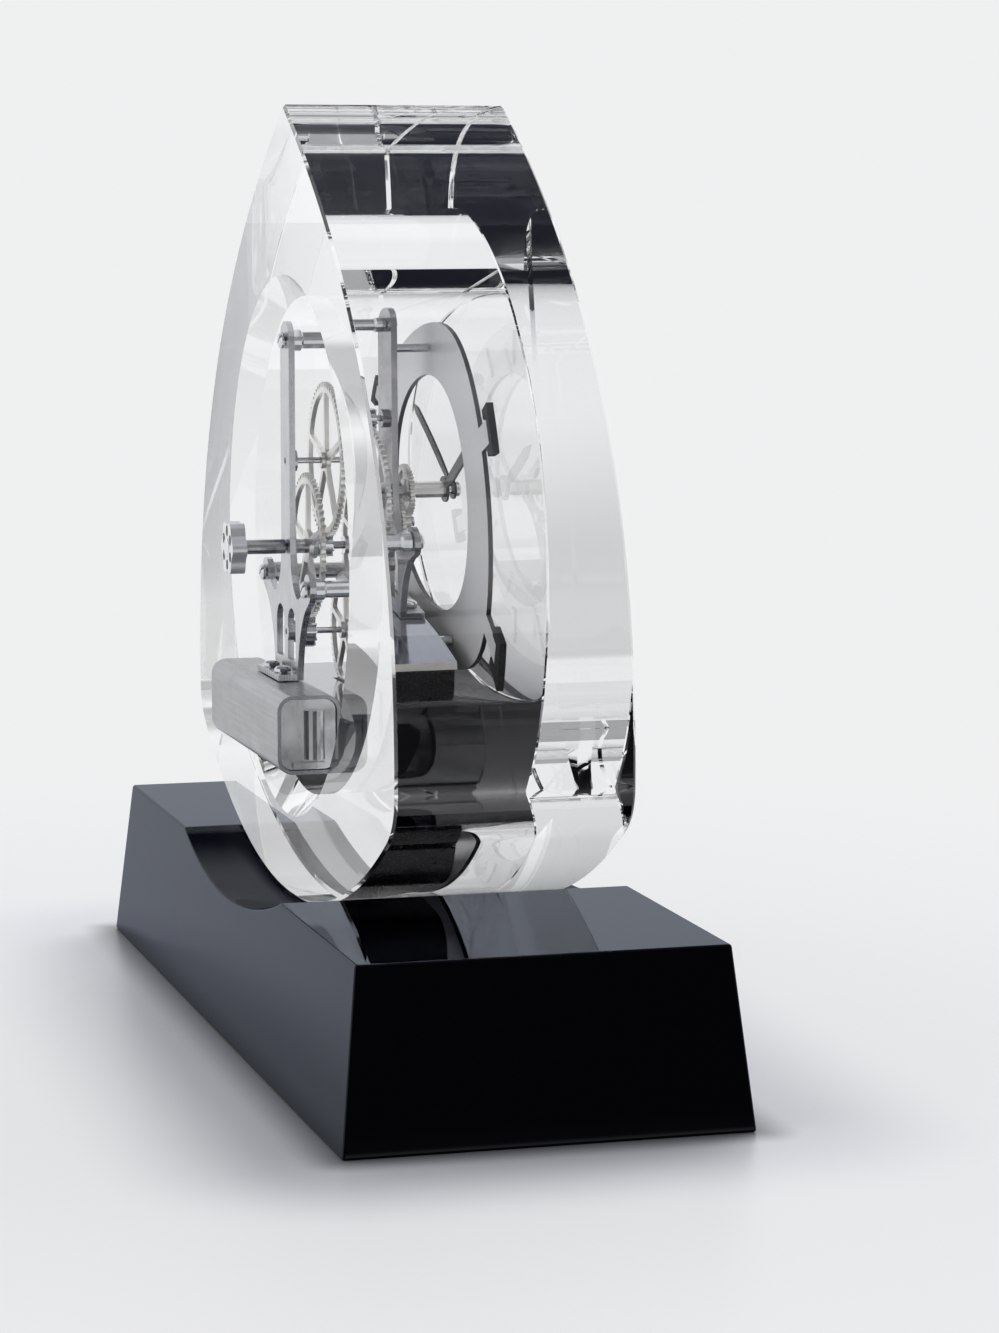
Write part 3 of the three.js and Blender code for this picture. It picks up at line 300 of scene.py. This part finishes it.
def studio_world():
    """Pale walls, which the crystal and the base show with darker parts.

    Both show a dark near end and a greyer ceiling. Reflections also show a greyer overhead, and
    the crystal a greyer zenith and far corner.
    """
    world = bpy.data.worlds.new("studio")
    bpy.context.scene.world = world
    world.use_nodes = True
    tree = world.node_tree
    tree.nodes.clear()
    output = tree.nodes.new("ShaderNodeOutputWorld")
    x, y, z = axes(tree, coordinate(tree, "Generated"))
    path = tree.nodes.new("ShaderNodeLightPath").outputs
    glossy, through = path["Is Glossy Ray"], path["Is Transmission Ray"]

    near_end = math_node(tree, "MULTIPLY", smooth_step(tree, x, *NEAR_END_X),
                         smooth_step(tree, z, *NEAR_END_Z), blend(tree, through, *NEAR_END_SHADES))
    ceiling = math_node(tree, "MULTIPLY", smooth_step(tree, z, *CEILING_Z),
                        blend(tree, through, *CEILING_SHADES))
    corner = math_node(tree, "MULTIPLY", smooth_step(tree, x, *FAR_CORNER_X),
                       smooth_step(tree, y, *FAR_CORNER_Y),
                       blend(tree, through, *FAR_CORNER_SHADES))
    mirrored = math_node(tree, "MULTIPLY", glossy, math_node(tree, "SUBTRACT", 1.0, through),
                         smooth_step(tree, z, *OVERHEAD_Z))
    zenith = math_node(tree, "MULTIPLY", smooth_step(tree, z, *ZENITH_Z),
                       smooth_step(tree, x, *ZENITH_X), through)
    overhead = math_node(tree, "ADD", math_node(tree, "MULTIPLY", mirrored, OVERHEAD_SHADE),
                         math_node(tree, "MULTIPLY", zenith, ZENITH_SHADE))
    lit = [math_node(tree, "SUBTRACT", 1.0, shade)
           for shade in (near_end, ceiling, overhead, corner)]
    level = blend(tree, math_node(tree, "MAXIMUM", glossy, through), DIFFUSE_LEVEL, 1.0)

    room = tree.nodes.new("ShaderNodeBackground")
    tree.links.new(blend_colour(tree, mirrored, ROOM_COLOUR, OVERHEAD_COLOUR), room.inputs["Color"])
    tree.links.new(math_node(tree, "MULTIPLY", *lit, level), room.inputs["Strength"])
    backdrop = tree.nodes.new("ShaderNodeBackground")
    backdrop.inputs["Color"].default_value = BACKDROP
    choice = blend_shader(tree, path["Is Camera Ray"], room.outputs[0], backdrop.outputs[0])
    tree.links.new(choice, output.inputs["Surface"])


def studio_floor():
    """A pale floor that keeps the shadow near the object and fades into the background. Close round
    the base its colour darkens to a painted contact shadow.

    Beyond the fade its glow has painted shade: darker at the near end in reflections, and in the
    far corner through the crystal.
    """
    material, tree, shader = new_material("studio_floor")
    shader.inputs["Roughness"].default_value = FLOOR_ROUGHNESS
    spot = coordinate(tree, "Object")
    beyond = vector_node(tree, "ABSOLUTE", spot)
    beyond = vector_node(tree, "SUBTRACT", beyond, (BASE_HALF_LENGTH, BASE_HALF_DEPTH, 0))
    distance = vector_node(tree, "LENGTH", vector_node(tree, "MAXIMUM", beyond, (0, 0, 0)))
    # Painted contact shadow: a dark colour blended in close round the base
    contact = smooth_step(tree, distance, *CONTACT_SHADOW_FADE)
    tree.links.new(blend_colour(tree, contact, CONTACT_SHADOW_COLOUR, FLOOR_COLOUR),
                   shader.inputs["Base Color"])

    path = tree.nodes.new("ShaderNodeLightPath").outputs
    glossy, through = path["Is Glossy Ray"], path["Is Transmission Ray"]
    near = math_node(tree, "MULTIPLY", smooth_step(tree, distance, *NEAR_FADE), NEAR_SHARE)
    far = math_node(tree, "MULTIPLY", smooth_step(tree, distance, *FAR_FADE), FAR_SHARE)
    in_crystal = math_node(tree, "MULTIPLY", through, smooth_step(tree, distance, *CRYSTAL_FADE))
    faded = math_node(tree, "MAXIMUM", math_node(tree, "ADD", near, far), in_crystal)
    shown = math_node(tree, "MAXIMUM", path["Is Camera Ray"], glossy, through)

    heading = axes(tree, vector_node(tree, "NORMALIZE", spot))
    # Painted shade: the glow dims at the near end in reflections, and round a far spot through the
    # crystal
    near_end = math_node(tree, "MULTIPLY", smooth_step(tree, axes(tree, spot)["X"], *DARK_FLOOR_X),
                         smooth_step(tree, heading["X"], *NEAR_END_X), glossy,
                         blend(tree, through, *DARK_FLOOR_SHADES))
    corner = smooth_step(tree, vector_node(tree, "DISTANCE", spot, FAR_SHADE_SPOT), *FAR_SHADE_FADE)
    corner = math_node(tree, "MULTIPLY", corner, blend(tree, through, *FAR_CORNER_SHADES))
    glow = tree.nodes.new("ShaderNodeEmission")
    glow.inputs["Color"].default_value = BACKDROP
    tree.links.new(math_node(tree, "SUBTRACT", 1.0, near_end, corner), glow.inputs["Strength"])
    surface = blend_shader(tree, math_node(tree, "MULTIPLY", faded, shown),
                           shader.outputs[0], glow.outputs[0])
    tree.links.new(surface, tree.nodes["Material Output"].inputs["Surface"])

    mesh = bpy.data.meshes.new("studio_floor")
    corners = [(-FLOOR_REACH, -FLOOR_REACH, 0), (FLOOR_REACH, -FLOOR_REACH, 0),
               (FLOOR_REACH, FLOOR_REACH, 0), (-FLOOR_REACH, FLOOR_REACH, 0)]
    mesh.from_pydata(corners, [], [(0, 1, 2, 3)])
    mesh.materials.append(material)
    floor = add_object("studio_floor", mesh)


def studio_lamps():
    for name, place, size, power in LAMPS:
        data = bpy.data.lights.new(name, "AREA")
        data.shape = "DISK"
        data.size = size
        data.energy = power
        lamp = add_object(name, data)
        lamp.location = place
        aim(lamp, Vector(LAMP_TARGET) - Vector(place))
        lamp.visible_glossy = False
        lamp.visible_transmission = False


# Materials

def noise(tree, scale, detail=3.0, stretch=PLAIN):
    mapping = tree.nodes.new("ShaderNodeMapping")
    mapping.inputs["Scale"].default_value = stretch
    tree.links.new(coordinate(tree, "Object"), mapping.inputs["Vector"])
    texture = tree.nodes.new("ShaderNodeTexNoise")
    texture.inputs["Scale"].default_value = scale
    texture.inputs["Detail"].default_value = detail
    tree.links.new(mapping.outputs[0], texture.inputs["Vector"])
    return texture.outputs["Fac"]


def colour_ramp(tree, fac, first, second, ends=(0.0, 1.0)):
    ramp = tree.nodes.new("ShaderNodeValToRGB")
    for element, colour, position in zip(ramp.color_ramp.elements, (first, second), ends):
        element.position = position
        element.color = (*colour, 1)
    tree.links.new(fac, ramp.inputs[0])
    return ramp.outputs[0]


def vary_colour(tree, shader, fac, colours):
    tree.links.new(colour_ramp(tree, fac, *colours, COLOUR_ENDS), shader.inputs["Base Color"])


def vary_roughness(tree, shader, fac, roughness):
    node = tree.nodes.new("ShaderNodeMapRange")
    node.inputs["From Min"].default_value, node.inputs["From Max"].default_value = ROUGHNESS_ENDS
    node.inputs["To Min"].default_value, node.inputs["To Max"].default_value = roughness
    tree.links.new(fac, node.inputs["Value"])
    tree.links.new(node.outputs[0], shader.inputs["Roughness"])


def add_bump(tree, shader, fac, strength, distance):
    bump = tree.nodes.new("ShaderNodeBump")
    bump.inputs["Strength"].default_value = strength
    bump.inputs["Distance"].default_value = distance
    tree.links.new(fac, bump.inputs["Height"])
    tree.links.new(bump.outputs[0], shader.inputs["Normal"])


def metal(name, colours, roughness, grain=400, stretch=PLAIN, relief=0.08):
    material, tree, shader = new_material(name)
    shader.inputs["Metallic"].default_value = 1
    vary_colour(tree, shader, noise(tree, METAL_PATCHES), colours)
    fine = noise(tree, grain, 4, stretch)
    vary_roughness(tree, shader, fine, roughness)
    add_bump(tree, shader, fine, relief, METAL_RELIEF)
    return material


def edged_metal(name, across, face, edge, roughness, stretch=PLAIN):
    """A plate with brushed faces across the named axis, and cut edges that look different.

    Face and edge are each a colour and how metallic it is.
    """
    material, tree, shader = new_material(name)
    normal = tree.nodes.new("ShaderNodeNewGeometry").outputs["True Normal"]
    facing = math_node(tree, "ABSOLUTE", axes(tree, normal)[across])
    flat = smooth_step(tree, facing, *FACE_OR_EDGE)
    fine = noise(tree, FINE_GRAIN, 4, stretch)
    tones = [colour_ramp(tree, fine, [GRAIN_SHADE * c for c in colour], colour)
             for colour, _ in (edge, face)]
    tree.links.new(blend_colour(tree, flat, *tones), shader.inputs["Base Color"])
    tree.links.new(blend(tree, flat, edge[1], face[1]), shader.inputs["Metallic"])
    vary_roughness(tree, shader, fine, roughness)
    return material


def moulded(name, colours, roughness, ior=1.5, relief=0.15):
    material, tree, shader = new_material(name)
    shader.inputs["IOR"].default_value = ior
    vary_colour(tree, shader, noise(tree, PLASTIC_PATCHES), colours)
    fine = noise(tree, PLASTIC_GRAIN, 5)
    vary_roughness(tree, shader, fine, roughness)
    add_bump(tree, shader, fine, relief, PLASTIC_RELIEF)
    return material


def clear_crystal():
    material, tree, shader = new_material("clear_crystal")
    shader.inputs["Transmission Weight"].default_value = 1
    shader.inputs["IOR"].default_value = CLEAR_IOR
    shader.inputs["Roughness"].default_value = 0
    vary_colour(tree, shader, noise(tree, GLASS_PATCHES), ((0.985, 0.99, 0.992), (1, 1, 1)))
    return material


def black_crystal():
    """Black glass: polished outside, where it mirrors the room, and matt in the crystal's hollow,
    where its black and weak mirror are painted shade.

    The open parts of the hollow, before and behind the clear crystal, are grey low down: a painted
    reflection.
    """
    material, tree, shader = new_material("black_crystal")
    shader.inputs["Specular IOR Level"].default_value = 0
    vary_colour(tree, shader, noise(tree, BLACK_PATCHES),
                ((0.0002, 0.0003, 0.0008), (0.0005, 0.0006, 0.0014)))
    vary_roughness(tree, shader, noise(tree, BLACK_GRAIN, 4), (0.01, 0.04))
    polish = tree.nodes.new("ShaderNodeBsdfAnisotropic")
    polish.inputs["Color"].default_value = MIRROR_COLOUR
    polish.inputs["Roughness"].default_value = MIRROR_ROUGHNESS
    fresnel = tree.nodes.new("ShaderNodeFresnel")
    fresnel.inputs["IOR"].default_value = BLACK_IOR

    _, y, z = axes(tree, coordinate(tree, "Object"))
    # Painted reflection: grey low down in the hollow's open parts
    grey = math_node(tree, "MULTIPLY",
                     smooth_step(tree, math_node(tree, "ABSOLUTE", y), *REFLECTION_FADE_Y),
                     smooth_step(tree, z, *REFLECTION_FADE_Z))
    # Painted shade: a matt black in the hollow, in place of the polished glass
    hollow_shade = tree.nodes.new("ShaderNodeBsdfDiffuse")
    tree.links.new(blend_colour(tree, grey, HOLLOW_SHADE_BLACK, HOLLOW_REFLECTION_GREY), hollow_shade.inputs["Color"])
    facing = axes(tree, coordinate(tree, "Normal"))
    hollow = math_node(tree, "MULTIPLY", smooth_step(tree, z, *HOLLOW_FADE_Z),
                       smooth_step(tree, facing["Z"], *HOLLOW_FACING))
    body = blend_shader(tree, hollow, shader.outputs[0], hollow_shade.outputs[0])
    # The hollow's weak mirror is part of its painted shade
    mirror = math_node(tree, "MULTIPLY", blend(tree, hollow, BASE_MIRROR, HOLLOW_MIRROR),
                       fresnel.outputs[0])
    surface = blend_shader(tree, mirror, body, polish.outputs[0])
    tree.links.new(surface, tree.nodes["Material Output"].inputs["Surface"])
    return material


# Mesh building

def finish_mesh(mesh, material, angle):
    """Gives the mesh its only material, and smooth shading below the angle."""
    mesh.materials.clear()
    mesh.materials.append(material)
    mesh.shade_smooth()
    mesh.set_sharp_from_angle(angle=math.radians(angle))


def add_bevel(piece, width, angle):
    modifier = piece.modifiers.new("bevel", "BEVEL")
    modifier.width = width
    modifier.segments = 2
    modifier.limit_method = "ANGLE"
    modifier.angle_limit = math.radians(angle)
    modifier.harden_normals = True
    modifier.use_clamp_overlap = True


def link_piece(name, mesh, material, body, replaced=(), angle=USUAL_ANGLE,
               bevel=0.0):
    """A finished piece, with a small polished bevel on its sharp edges."""
    finish_mesh(mesh, material, angle)
    piece = add_object(name, mesh)
    if bevel:
        add_bevel(piece, bevel, angle)
    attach(piece, body)
    if replaced:
        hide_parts(*replaced)


def to_mesh(name, verts, faces):
    mesh = bpy.data.meshes.new(name)
    mesh.from_pydata(verts, [], faces)
    work = bmesh.new()
    work.from_mesh(mesh)
    bmesh.ops.remove_doubles(work, verts=work.verts, dist=1e-7)
    bmesh.ops.recalc_face_normals(work, faces=work.faces)
    work.to_mesh(mesh)
    work.free()
    return mesh


def strip(first, second, count):
    """Quads between two loops of count vertices that start at these indices."""
    nexts = [(i + 1) % count for i in range(count)]
    return [(first + i, first + j, second + j, second + i) for i, j in enumerate(nexts)]


def fill(*loops):
    """Triangles inside the first loop and outside the others."""
    return tessellate_polygon([[Vector((x, z, 0)) for x, z in loop] for loop in loops])


def polar(radius, angle, at):
    return at[0] + radius * math.cos(angle), at[1] + radius * math.sin(angle)


def arc(radius, start, end, steps, at):
    return [polar(radius, start + (end - start) * i / steps, at) for i in range(steps + 1)]


def circle(radius, steps, at):
    return arc(radius, 0, TURN, steps, at)[:-1]


def bezier(controls, steps):
    degree = len(controls) - 1
    points = []
    for i in range(steps + 1):
        t = i / steps
        weights = [math.comb(degree, k) * (1 - t) ** (degree - k) * t ** k
                   for k in range(degree + 1)]
        points.append(tuple(sum(weight * control[axis]
                                for weight, control in zip(weights, controls)) for axis in (0, 1)))
    return points


def inset(loop, distance):
    """The loop moved inwards by a distance; it runs anticlockwise."""
    moved = []
    for i, point in enumerate(loop):
        before, after = Vector(loop[i - 1]), Vector(loop[(i + 1) % len(loop)])
        here = Vector(point)
        first = (here - before).normalized()
        second = (after - here).normalized()
        n1, n2 = Vector((-first.y, first.x)), Vector((-second.y, second.x))
        moved.append(tuple(here + (n1 + n2) * (distance / (1 + n1.dot(n2)))))
    return moved


def turned(name, profile, at, closed=False):
    """Revolves (radius, y) points about the line along Y through at."""
    verts, faces, rings = [], [], []
    for radius, y in profile:
        count = TURNED_STEPS if radius else 1
        rings.append([len(verts) + i for i in range(count)])
        for i in range(count):
            x, z = polar(radius, TURN * i / TURNED_STEPS, at)
            verts.append((x, y, z))
    pairs = list(zip(rings, rings[1:]))
    if closed:
        pairs.append((rings[-1], rings[0]))
    for a, b in pairs:
        for i in range(TURNED_STEPS):
            j = (i + 1) % TURNED_STEPS
            corners = [a[i % len(a)], a[j % len(a)], b[j % len(b)], b[i % len(b)]]
            corners = list(dict.fromkeys(corners))
            if len(corners) > 2:
                faces.append(corners)
    return to_mesh(name, verts, faces)


def plate(name, outline, holes, front, back):
    """An outline with holes, given a thickness along Y."""
    loops = [outline, *holes]
    points = [point for loop in loops for point in loop]
    count = len(points)
    triangles = fill(*loops)
    verts = [(x, y, z) for y in (front, back) for x, z in points]
    faces = [tuple(t) for t in triangles]
    faces += [tuple(i + count for i in reversed(t)) for t in triangles]
    start = 0
    for loop in loops:
        faces += strip(start, start + count, len(loop))
        start += len(loop)
    return to_mesh(name, verts, faces)


# Crystal and base

def crystal_outline():
    """Anticlockwise, from the apex down the left flank and round the bottom arc."""
    width = HALF_WIDTH
    corner = APEX - math.sqrt(SWING_RADIUS ** 2 - width ** 2)
    knee_top = corner + CORNER_RADIUS
    widest = knee_top + SIDE_STRAIGHT
    bend = math.acos((width - CORNER_RADIUS) / SWING_RADIUS)
    low = APEX - SWING_RADIUS * math.sin(bend)
    pull = polar(APEX_PULL, -APEX_SLOPE, (0, APEX))
    left = bezier([(0, APEX), (-pull[0], pull[1]), (-width, widest + SIDE_PULL), (-width, widest)],
                  FLANK_STEPS)
    left += bezier([(-width, knee_top), (-width, corner), (CORNER_RADIUS - width, low)],
                   KNEE_STEPS)[:-1]
    left += arc(SWING_RADIUS, math.pi + bend, 1.5 * math.pi, BOTTOM_STEPS, (0, APEX))
    return left + [(-x, z) for x, z in reversed(left[1:-1])]


def build_crystal(material):
    outline = crystal_outline()
    face = inset(outline, EDGE_BEVEL)
    count = len(outline)
    middle = (0, CENTRE)
    mouth = circle(MOUTH_RADIUS, POCKET_STEPS, middle)
    verts = []
    for loop, y in ((face, -BACK_FACE), (outline, -BACK_FACE + EDGE_BEVEL),
                    (outline, BACK_FACE - EDGE_BEVEL), (face, BACK_FACE), (mouth, BACK_FACE)):
        verts += [(x, y, z) for x, z in loop]
    back_start, mouth_start = 3 * count, 4 * count
    faces = []
    for start in range(0, back_start, count):
        faces += strip(start, start + count, count)
    faces += [tuple(t) for t in fill(face)]
    faces += [tuple(back_start + i for i in t) for t in fill(face, mouth)]
    # The mouth's cone, the pocket's wall, a fillet in two steps, and the floor
    rings = [
        (POCKET_RADIUS, BACK_FACE - MOUTH_DEPTH),
        (POCKET_RADIUS, POCKET_FLOOR + POCKET_FILLET),
        (POCKET_RADIUS - FILLET_MIDDLE, POCKET_FLOOR + FILLET_MIDDLE),
        (POCKET_RADIUS - POCKET_FILLET, POCKET_FLOOR),
    ]
    previous = mouth_start
    for radius, y in rings:
        start = len(verts)
        verts += [(x, y, z) for x, z in circle(radius, POCKET_STEPS, middle)]
        faces += strip(previous, start, POCKET_STEPS)
        previous = start
    faces.append(tuple(range(previous, previous + POCKET_STEPS)))
    mesh = to_mesh("crystal", verts, faces)
    link_piece("crystal", mesh, material, "clock_head", ["crystal_block"],
               angle=CRYSTAL_ANGLE)


def build_base(material):
    radius = SWING_RADIUS + SEAT_GAP
    half = math.asin(math.sqrt(radius ** 2 - (APEX - BASE_HEIGHT) ** 2) / radius)
    hollow = arc(radius, 1.5 * math.pi - half, 1.5 * math.pi + half, HOLLOW_STEPS, (0, APEX))
    top = BASE_HALF_LENGTH - BASE_END_SLOPE
    outline = [(-BASE_HALF_LENGTH, 0), (BASE_HALF_LENGTH, 0), (top, BASE_HEIGHT),
               *reversed(hollow), (-top, BASE_HEIGHT)]
    count = len(outline)
    verts = [(x, side * (BASE_HALF_DEPTH - BASE_SIDE_SLOPE * z / BASE_HEIGHT), z)
             for side in (-1, 1) for x, z in outline]
    faces = [tuple(range(count)), tuple(reversed(range(count, 2 * count)))]
    mesh = to_mesh("base", verts, faces + strip(0, count, count))
    link_piece("base", mesh, material, "base", ["base_block"],
               angle=BASE_ANGLE, bevel=BASE_BEVEL)


# Toothed wheels

def tooth_loop(teeth, module, phase, at):
    """Rounded teeth inside the solid's own tooth shape; one points along the phase angle."""
    step = TURN / teeth
    half = [(module * (teeth / 2 + rise), share * step) for rise, share in HALF_TOOTH]
    tooth = [(radius, -turn) for radius, turn in half] + half[::-1]
    return [polar(radius, phase + i * step + turn, at)
            for i in range(teeth) for radius, turn in tooth]


def spoke_windows(hub, rim, at):
    """Openings between tapered spokes, with rounded corners; the first spoke points up."""
    inner = math.asin(SPOKE_WIDTH * SPOKE_TAPER / 2 / hub)
    outer = math.asin(SPOKE_WIDTH / 2 / rim)
    soft = outer + WINDOW_CORNER_ANGLE
    windows = []
    for i in range(SPOKES):
        a = UP + i * TURN / SPOKES
        b = a + TURN / SPOKES
        windows.append([
            polar(rim - WINDOW_CORNER, a + outer, at),
            *arc(rim, a + soft, b - soft, WINDOW_STEPS, at),
            polar(rim - WINDOW_CORNER, b - outer, at),
            *arc(hub, b - inner, a + inner, HUB_STEPS, at),
        ])
    return windows


def build_wheel(node, body, material, height, teeth, module, phase, hub, bore, front, back,
                sleeve=None):
    """A crossed-out wheel in a solid's place; its sleeve is an outer radius, a front and a back."""
    name, at, slot = f"{node}_fine", (0, height), "wheel_brass"
    rim = teeth * module / 2 - RIM_MODULES * module - RIM_DEPTH
    holes = [circle(bore, BORE_STEPS, at), *spoke_windows(hub, rim, at)]
    mesh = plate(name, tooth_loop(teeth, module, phase, at), holes, front, back)
    link_piece(name, mesh, material, body, [node], angle=WHEEL_ANGLE, bevel=TOOTH_BEVEL)
    if sleeve:
        radius, start, end = sleeve
        profile = [(bore, start), (radius, start), (radius, end), (bore, end)]
        tube = turned(f"{name}_hub_0", profile, at, closed=True)
        link_piece(f"{name}_hub_0", tube, material, body, bevel=SLEEVE_BEVEL)


def mesh_module(wheel_teeth, pinion_teeth):
    """The tooth module of a wheel and a pinion on arbors that stand one rise apart."""
    return 2 * ARBOR_RISE / (wheel_teeth + pinion_teeth)


def build_train(material):
    """The four wheels of the going train, with their teeth turned as the solids' are."""
    half_step = TURN / 60 / 2
    build_wheel("centre_wheel", "centre_wheel", material, CENTRE,
                teeth=60, module=mesh_module(60, 8), phase=UP, hub=0.0044, bore=0.00107,
                front=0.0088, back=0.0100, sleeve=(0.0034, 0.0094, 0.0116))
    build_wheel("third_wheel", "third_group", material, THIRD,
                teeth=64, module=mesh_module(64, 8), phase=DOWN, hub=0.003, bore=0.00085,
                front=0.0180, back=0.0192, sleeve=(0.0022, 0.0186, 0.0202))
    build_wheel("seconds_wheel", "seconds_group", material, CENTRE,
                teeth=60, module=mesh_module(60, 12), phase=DOWN + half_step, hub=0.0044,
                bore=0.00195, front=0.0230, back=0.0242)
    build_wheel("lower_wheel", "lower_group", material, LOWER,
                teeth=60, module=0.0005, phase=DOWN + half_step, hub=0.003, bore=0.00085,
                front=0.0130, back=0.0142, sleeve=(0.0022, 0.0136, 0.0152))


# Setting knob

def build_knob(material):
    """A lobed disc with a ring of holes, between the ends of a stepped hub."""
    middle, body, slot = (0, CENTRE), "centre_arbor_group", "bright_steel"
    rim = []
    for i in range(KNOB_RIM_STEPS):
        angle = TURN * i / KNOB_RIM_STEPS
        wave = math.cos(KNOB_LOBES * angle) - 1
        rim.append(polar(KNOB_RADIUS + LOBE_DEPTH * wave, angle, middle))
    holes = []
    for i in range(KNOB_LOBES):
        place = polar(KNOB_HOLE_RING, (i + 0.5) * TURN / KNOB_LOBES, middle)
        holes.append(circle(KNOB_HOLE_RADIUS, KNOB_HOLE_STEPS, place))
    disc = plate("knob_disc", rim, holes, KNOB_DISC_FRONT, KNOB_DISC_BACK)
    link_piece("setting_knob_fine", disc, material, body, ["setting_knob"],
               angle=KNOB_ANGLE, bevel=KNOB_DISC_BEVEL)
    hub = turned("knob_hub", [
        (0, KNOB_FRONT), (KNOB_HUB_RADIUS, KNOB_FRONT), (KNOB_HUB_RADIUS, KNOB_HUB_SHOULDER),
        (KNOB_HUB_FACE_RADIUS, KNOB_BACK), (0, KNOB_BACK),
    ], middle)
    link_piece("setting_knob_hub", hub, material, body, bevel=KNOB_HUB_BEVEL)


# Scene

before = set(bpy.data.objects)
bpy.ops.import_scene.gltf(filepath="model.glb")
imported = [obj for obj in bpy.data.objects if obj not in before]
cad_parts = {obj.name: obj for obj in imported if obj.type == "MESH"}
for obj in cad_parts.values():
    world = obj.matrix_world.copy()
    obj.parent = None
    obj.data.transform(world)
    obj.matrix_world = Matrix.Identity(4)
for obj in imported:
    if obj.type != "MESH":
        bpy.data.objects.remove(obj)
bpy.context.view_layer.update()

camera()
studio_world()
studio_floor()
studio_lamps()
bpy.context.scene.view_settings.view_transform = "Standard"
cycles = bpy.context.scene.cycles
cycles.max_bounces = 32
cycles.transmission_bounces = 32
cycles.glossy_bounces = 16

glass = clear_crystal()
black = black_crystal()
steel = metal("bright_steel", ((0.62, 0.63, 0.65), (0.72, 0.73, 0.75)), (0.10, 0.22))
plate_steel = metal("plate_steel", ((0.48, 0.49, 0.51), (0.58, 0.59, 0.61)), (0.20, 0.32),
                    grain=FINE_GRAIN, stretch=ALONG_Z, relief=0.05)
dark_steel = metal("dark_steel", ((0.30, 0.30, 0.31), (0.42, 0.42, 0.43)), (0.14, 0.26),
                   grain=FINE_GRAIN, stretch=ALONG_Z, relief=0.05)
satin = metal("satin_steel", ((0.31, 0.32, 0.335), (0.36, 0.37, 0.385)), (0.26, 0.34),
              grain=FINE_GRAIN, stretch=ALONG_X, relief=0.03)
knob_metal = metal("knob_metal", ((0.86, 0.86, 0.87), (0.93, 0.93, 0.94)), (0.34, 0.44),
                   relief=0.03)
cap_metal = metal("cap_metal", ((0.44, 0.45, 0.46), (0.54, 0.55, 0.56)), (0.10, 0.18),
                  grain=500, relief=0.03)
ring_metal = edged_metal("ring_metal", "Y", face=((0.95, 0.95, 0.96), 0.2),
                         edge=((0.10, 0.10, 0.11), 1.0), roughness=(0.34, 0.42))
wheel_metal = metal("wheel_metal", ((0.80, 0.79, 0.77), (0.88, 0.87, 0.85)), (0.30, 0.42),
                    relief=0.03)
deck_metal = edged_metal("deck_metal", "Z", face=((0.36, 0.38, 0.44), 1.0),
                         edge=((0.98, 0.95, 0.88), 0.0), roughness=(0.06, 0.16), stretch=ALONG_X)
rubber = moulded("black_rubber", ((0.010, 0.010, 0.011), (0.018, 0.018, 0.019)), (0.55, 0.8))
housing = moulded("black_housing", ((0.006, 0.006, 0.007), (0.012, 0.012, 0.014)), (0.18, 0.32),
                  ior=1.35, relief=0.03)
hand_black = moulded("hand_black", ((0.008, 0.008, 0.010), (0.015, 0.015, 0.018)), (0.15, 0.3))
cell_skin = moulded("cell_skin", ((0.05, 0.055, 0.06), (0.08, 0.085, 0.09)), (0.25, 0.4))

build_crystal(glass)
build_base(black)
build_train(wheel_metal)
build_knob(knob_metal)

# The solids that stay: material and bevel
LOOKS = {
    "battery_cell": (cell_skin, 0.0),
    "battery_end_cap": (cap_metal, 0.00015),
    "battery_far_cap": (housing, 0.0002),
    "battery_sleeve": (satin, 0.00015),
    "centre_arbor": (dark_steel, 0.00006),
    "chapter_ring": (ring_metal, 0.0001),
    "circuit_module": (housing, 0.0002),
    "deck_plate": (deck_metal, 0.00015),
    "front_plate": (dark_steel, 0.00012),
    "hour_hand": (hand_black, 0.00008),
    "hour_wheel": (wheel_metal, 0.00005),
    "minute_hand": (hand_black, 0.00008),
    "minute_wheel": (wheel_metal, 0.00005),
    "motor_housing": (housing, 0.0003),
    "rear_plate": (plate_steel, 0.00012),
}
RUBBER_LOOK = (rubber, 0.0002)
OTHER_LOOK = (steel, 0.00006)

for name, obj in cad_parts.items():
    if obj.hide_render:
        continue
    other = RUBBER_LOOK if name.startswith("ring_bumper") else OTHER_LOOK
    look, bevel = LOOKS.get(name, other)
    finish_mesh(obj.data, look, NODE_ANGLE)
    if bevel:
        add_bevel(obj, bevel, NODE_ANGLE)
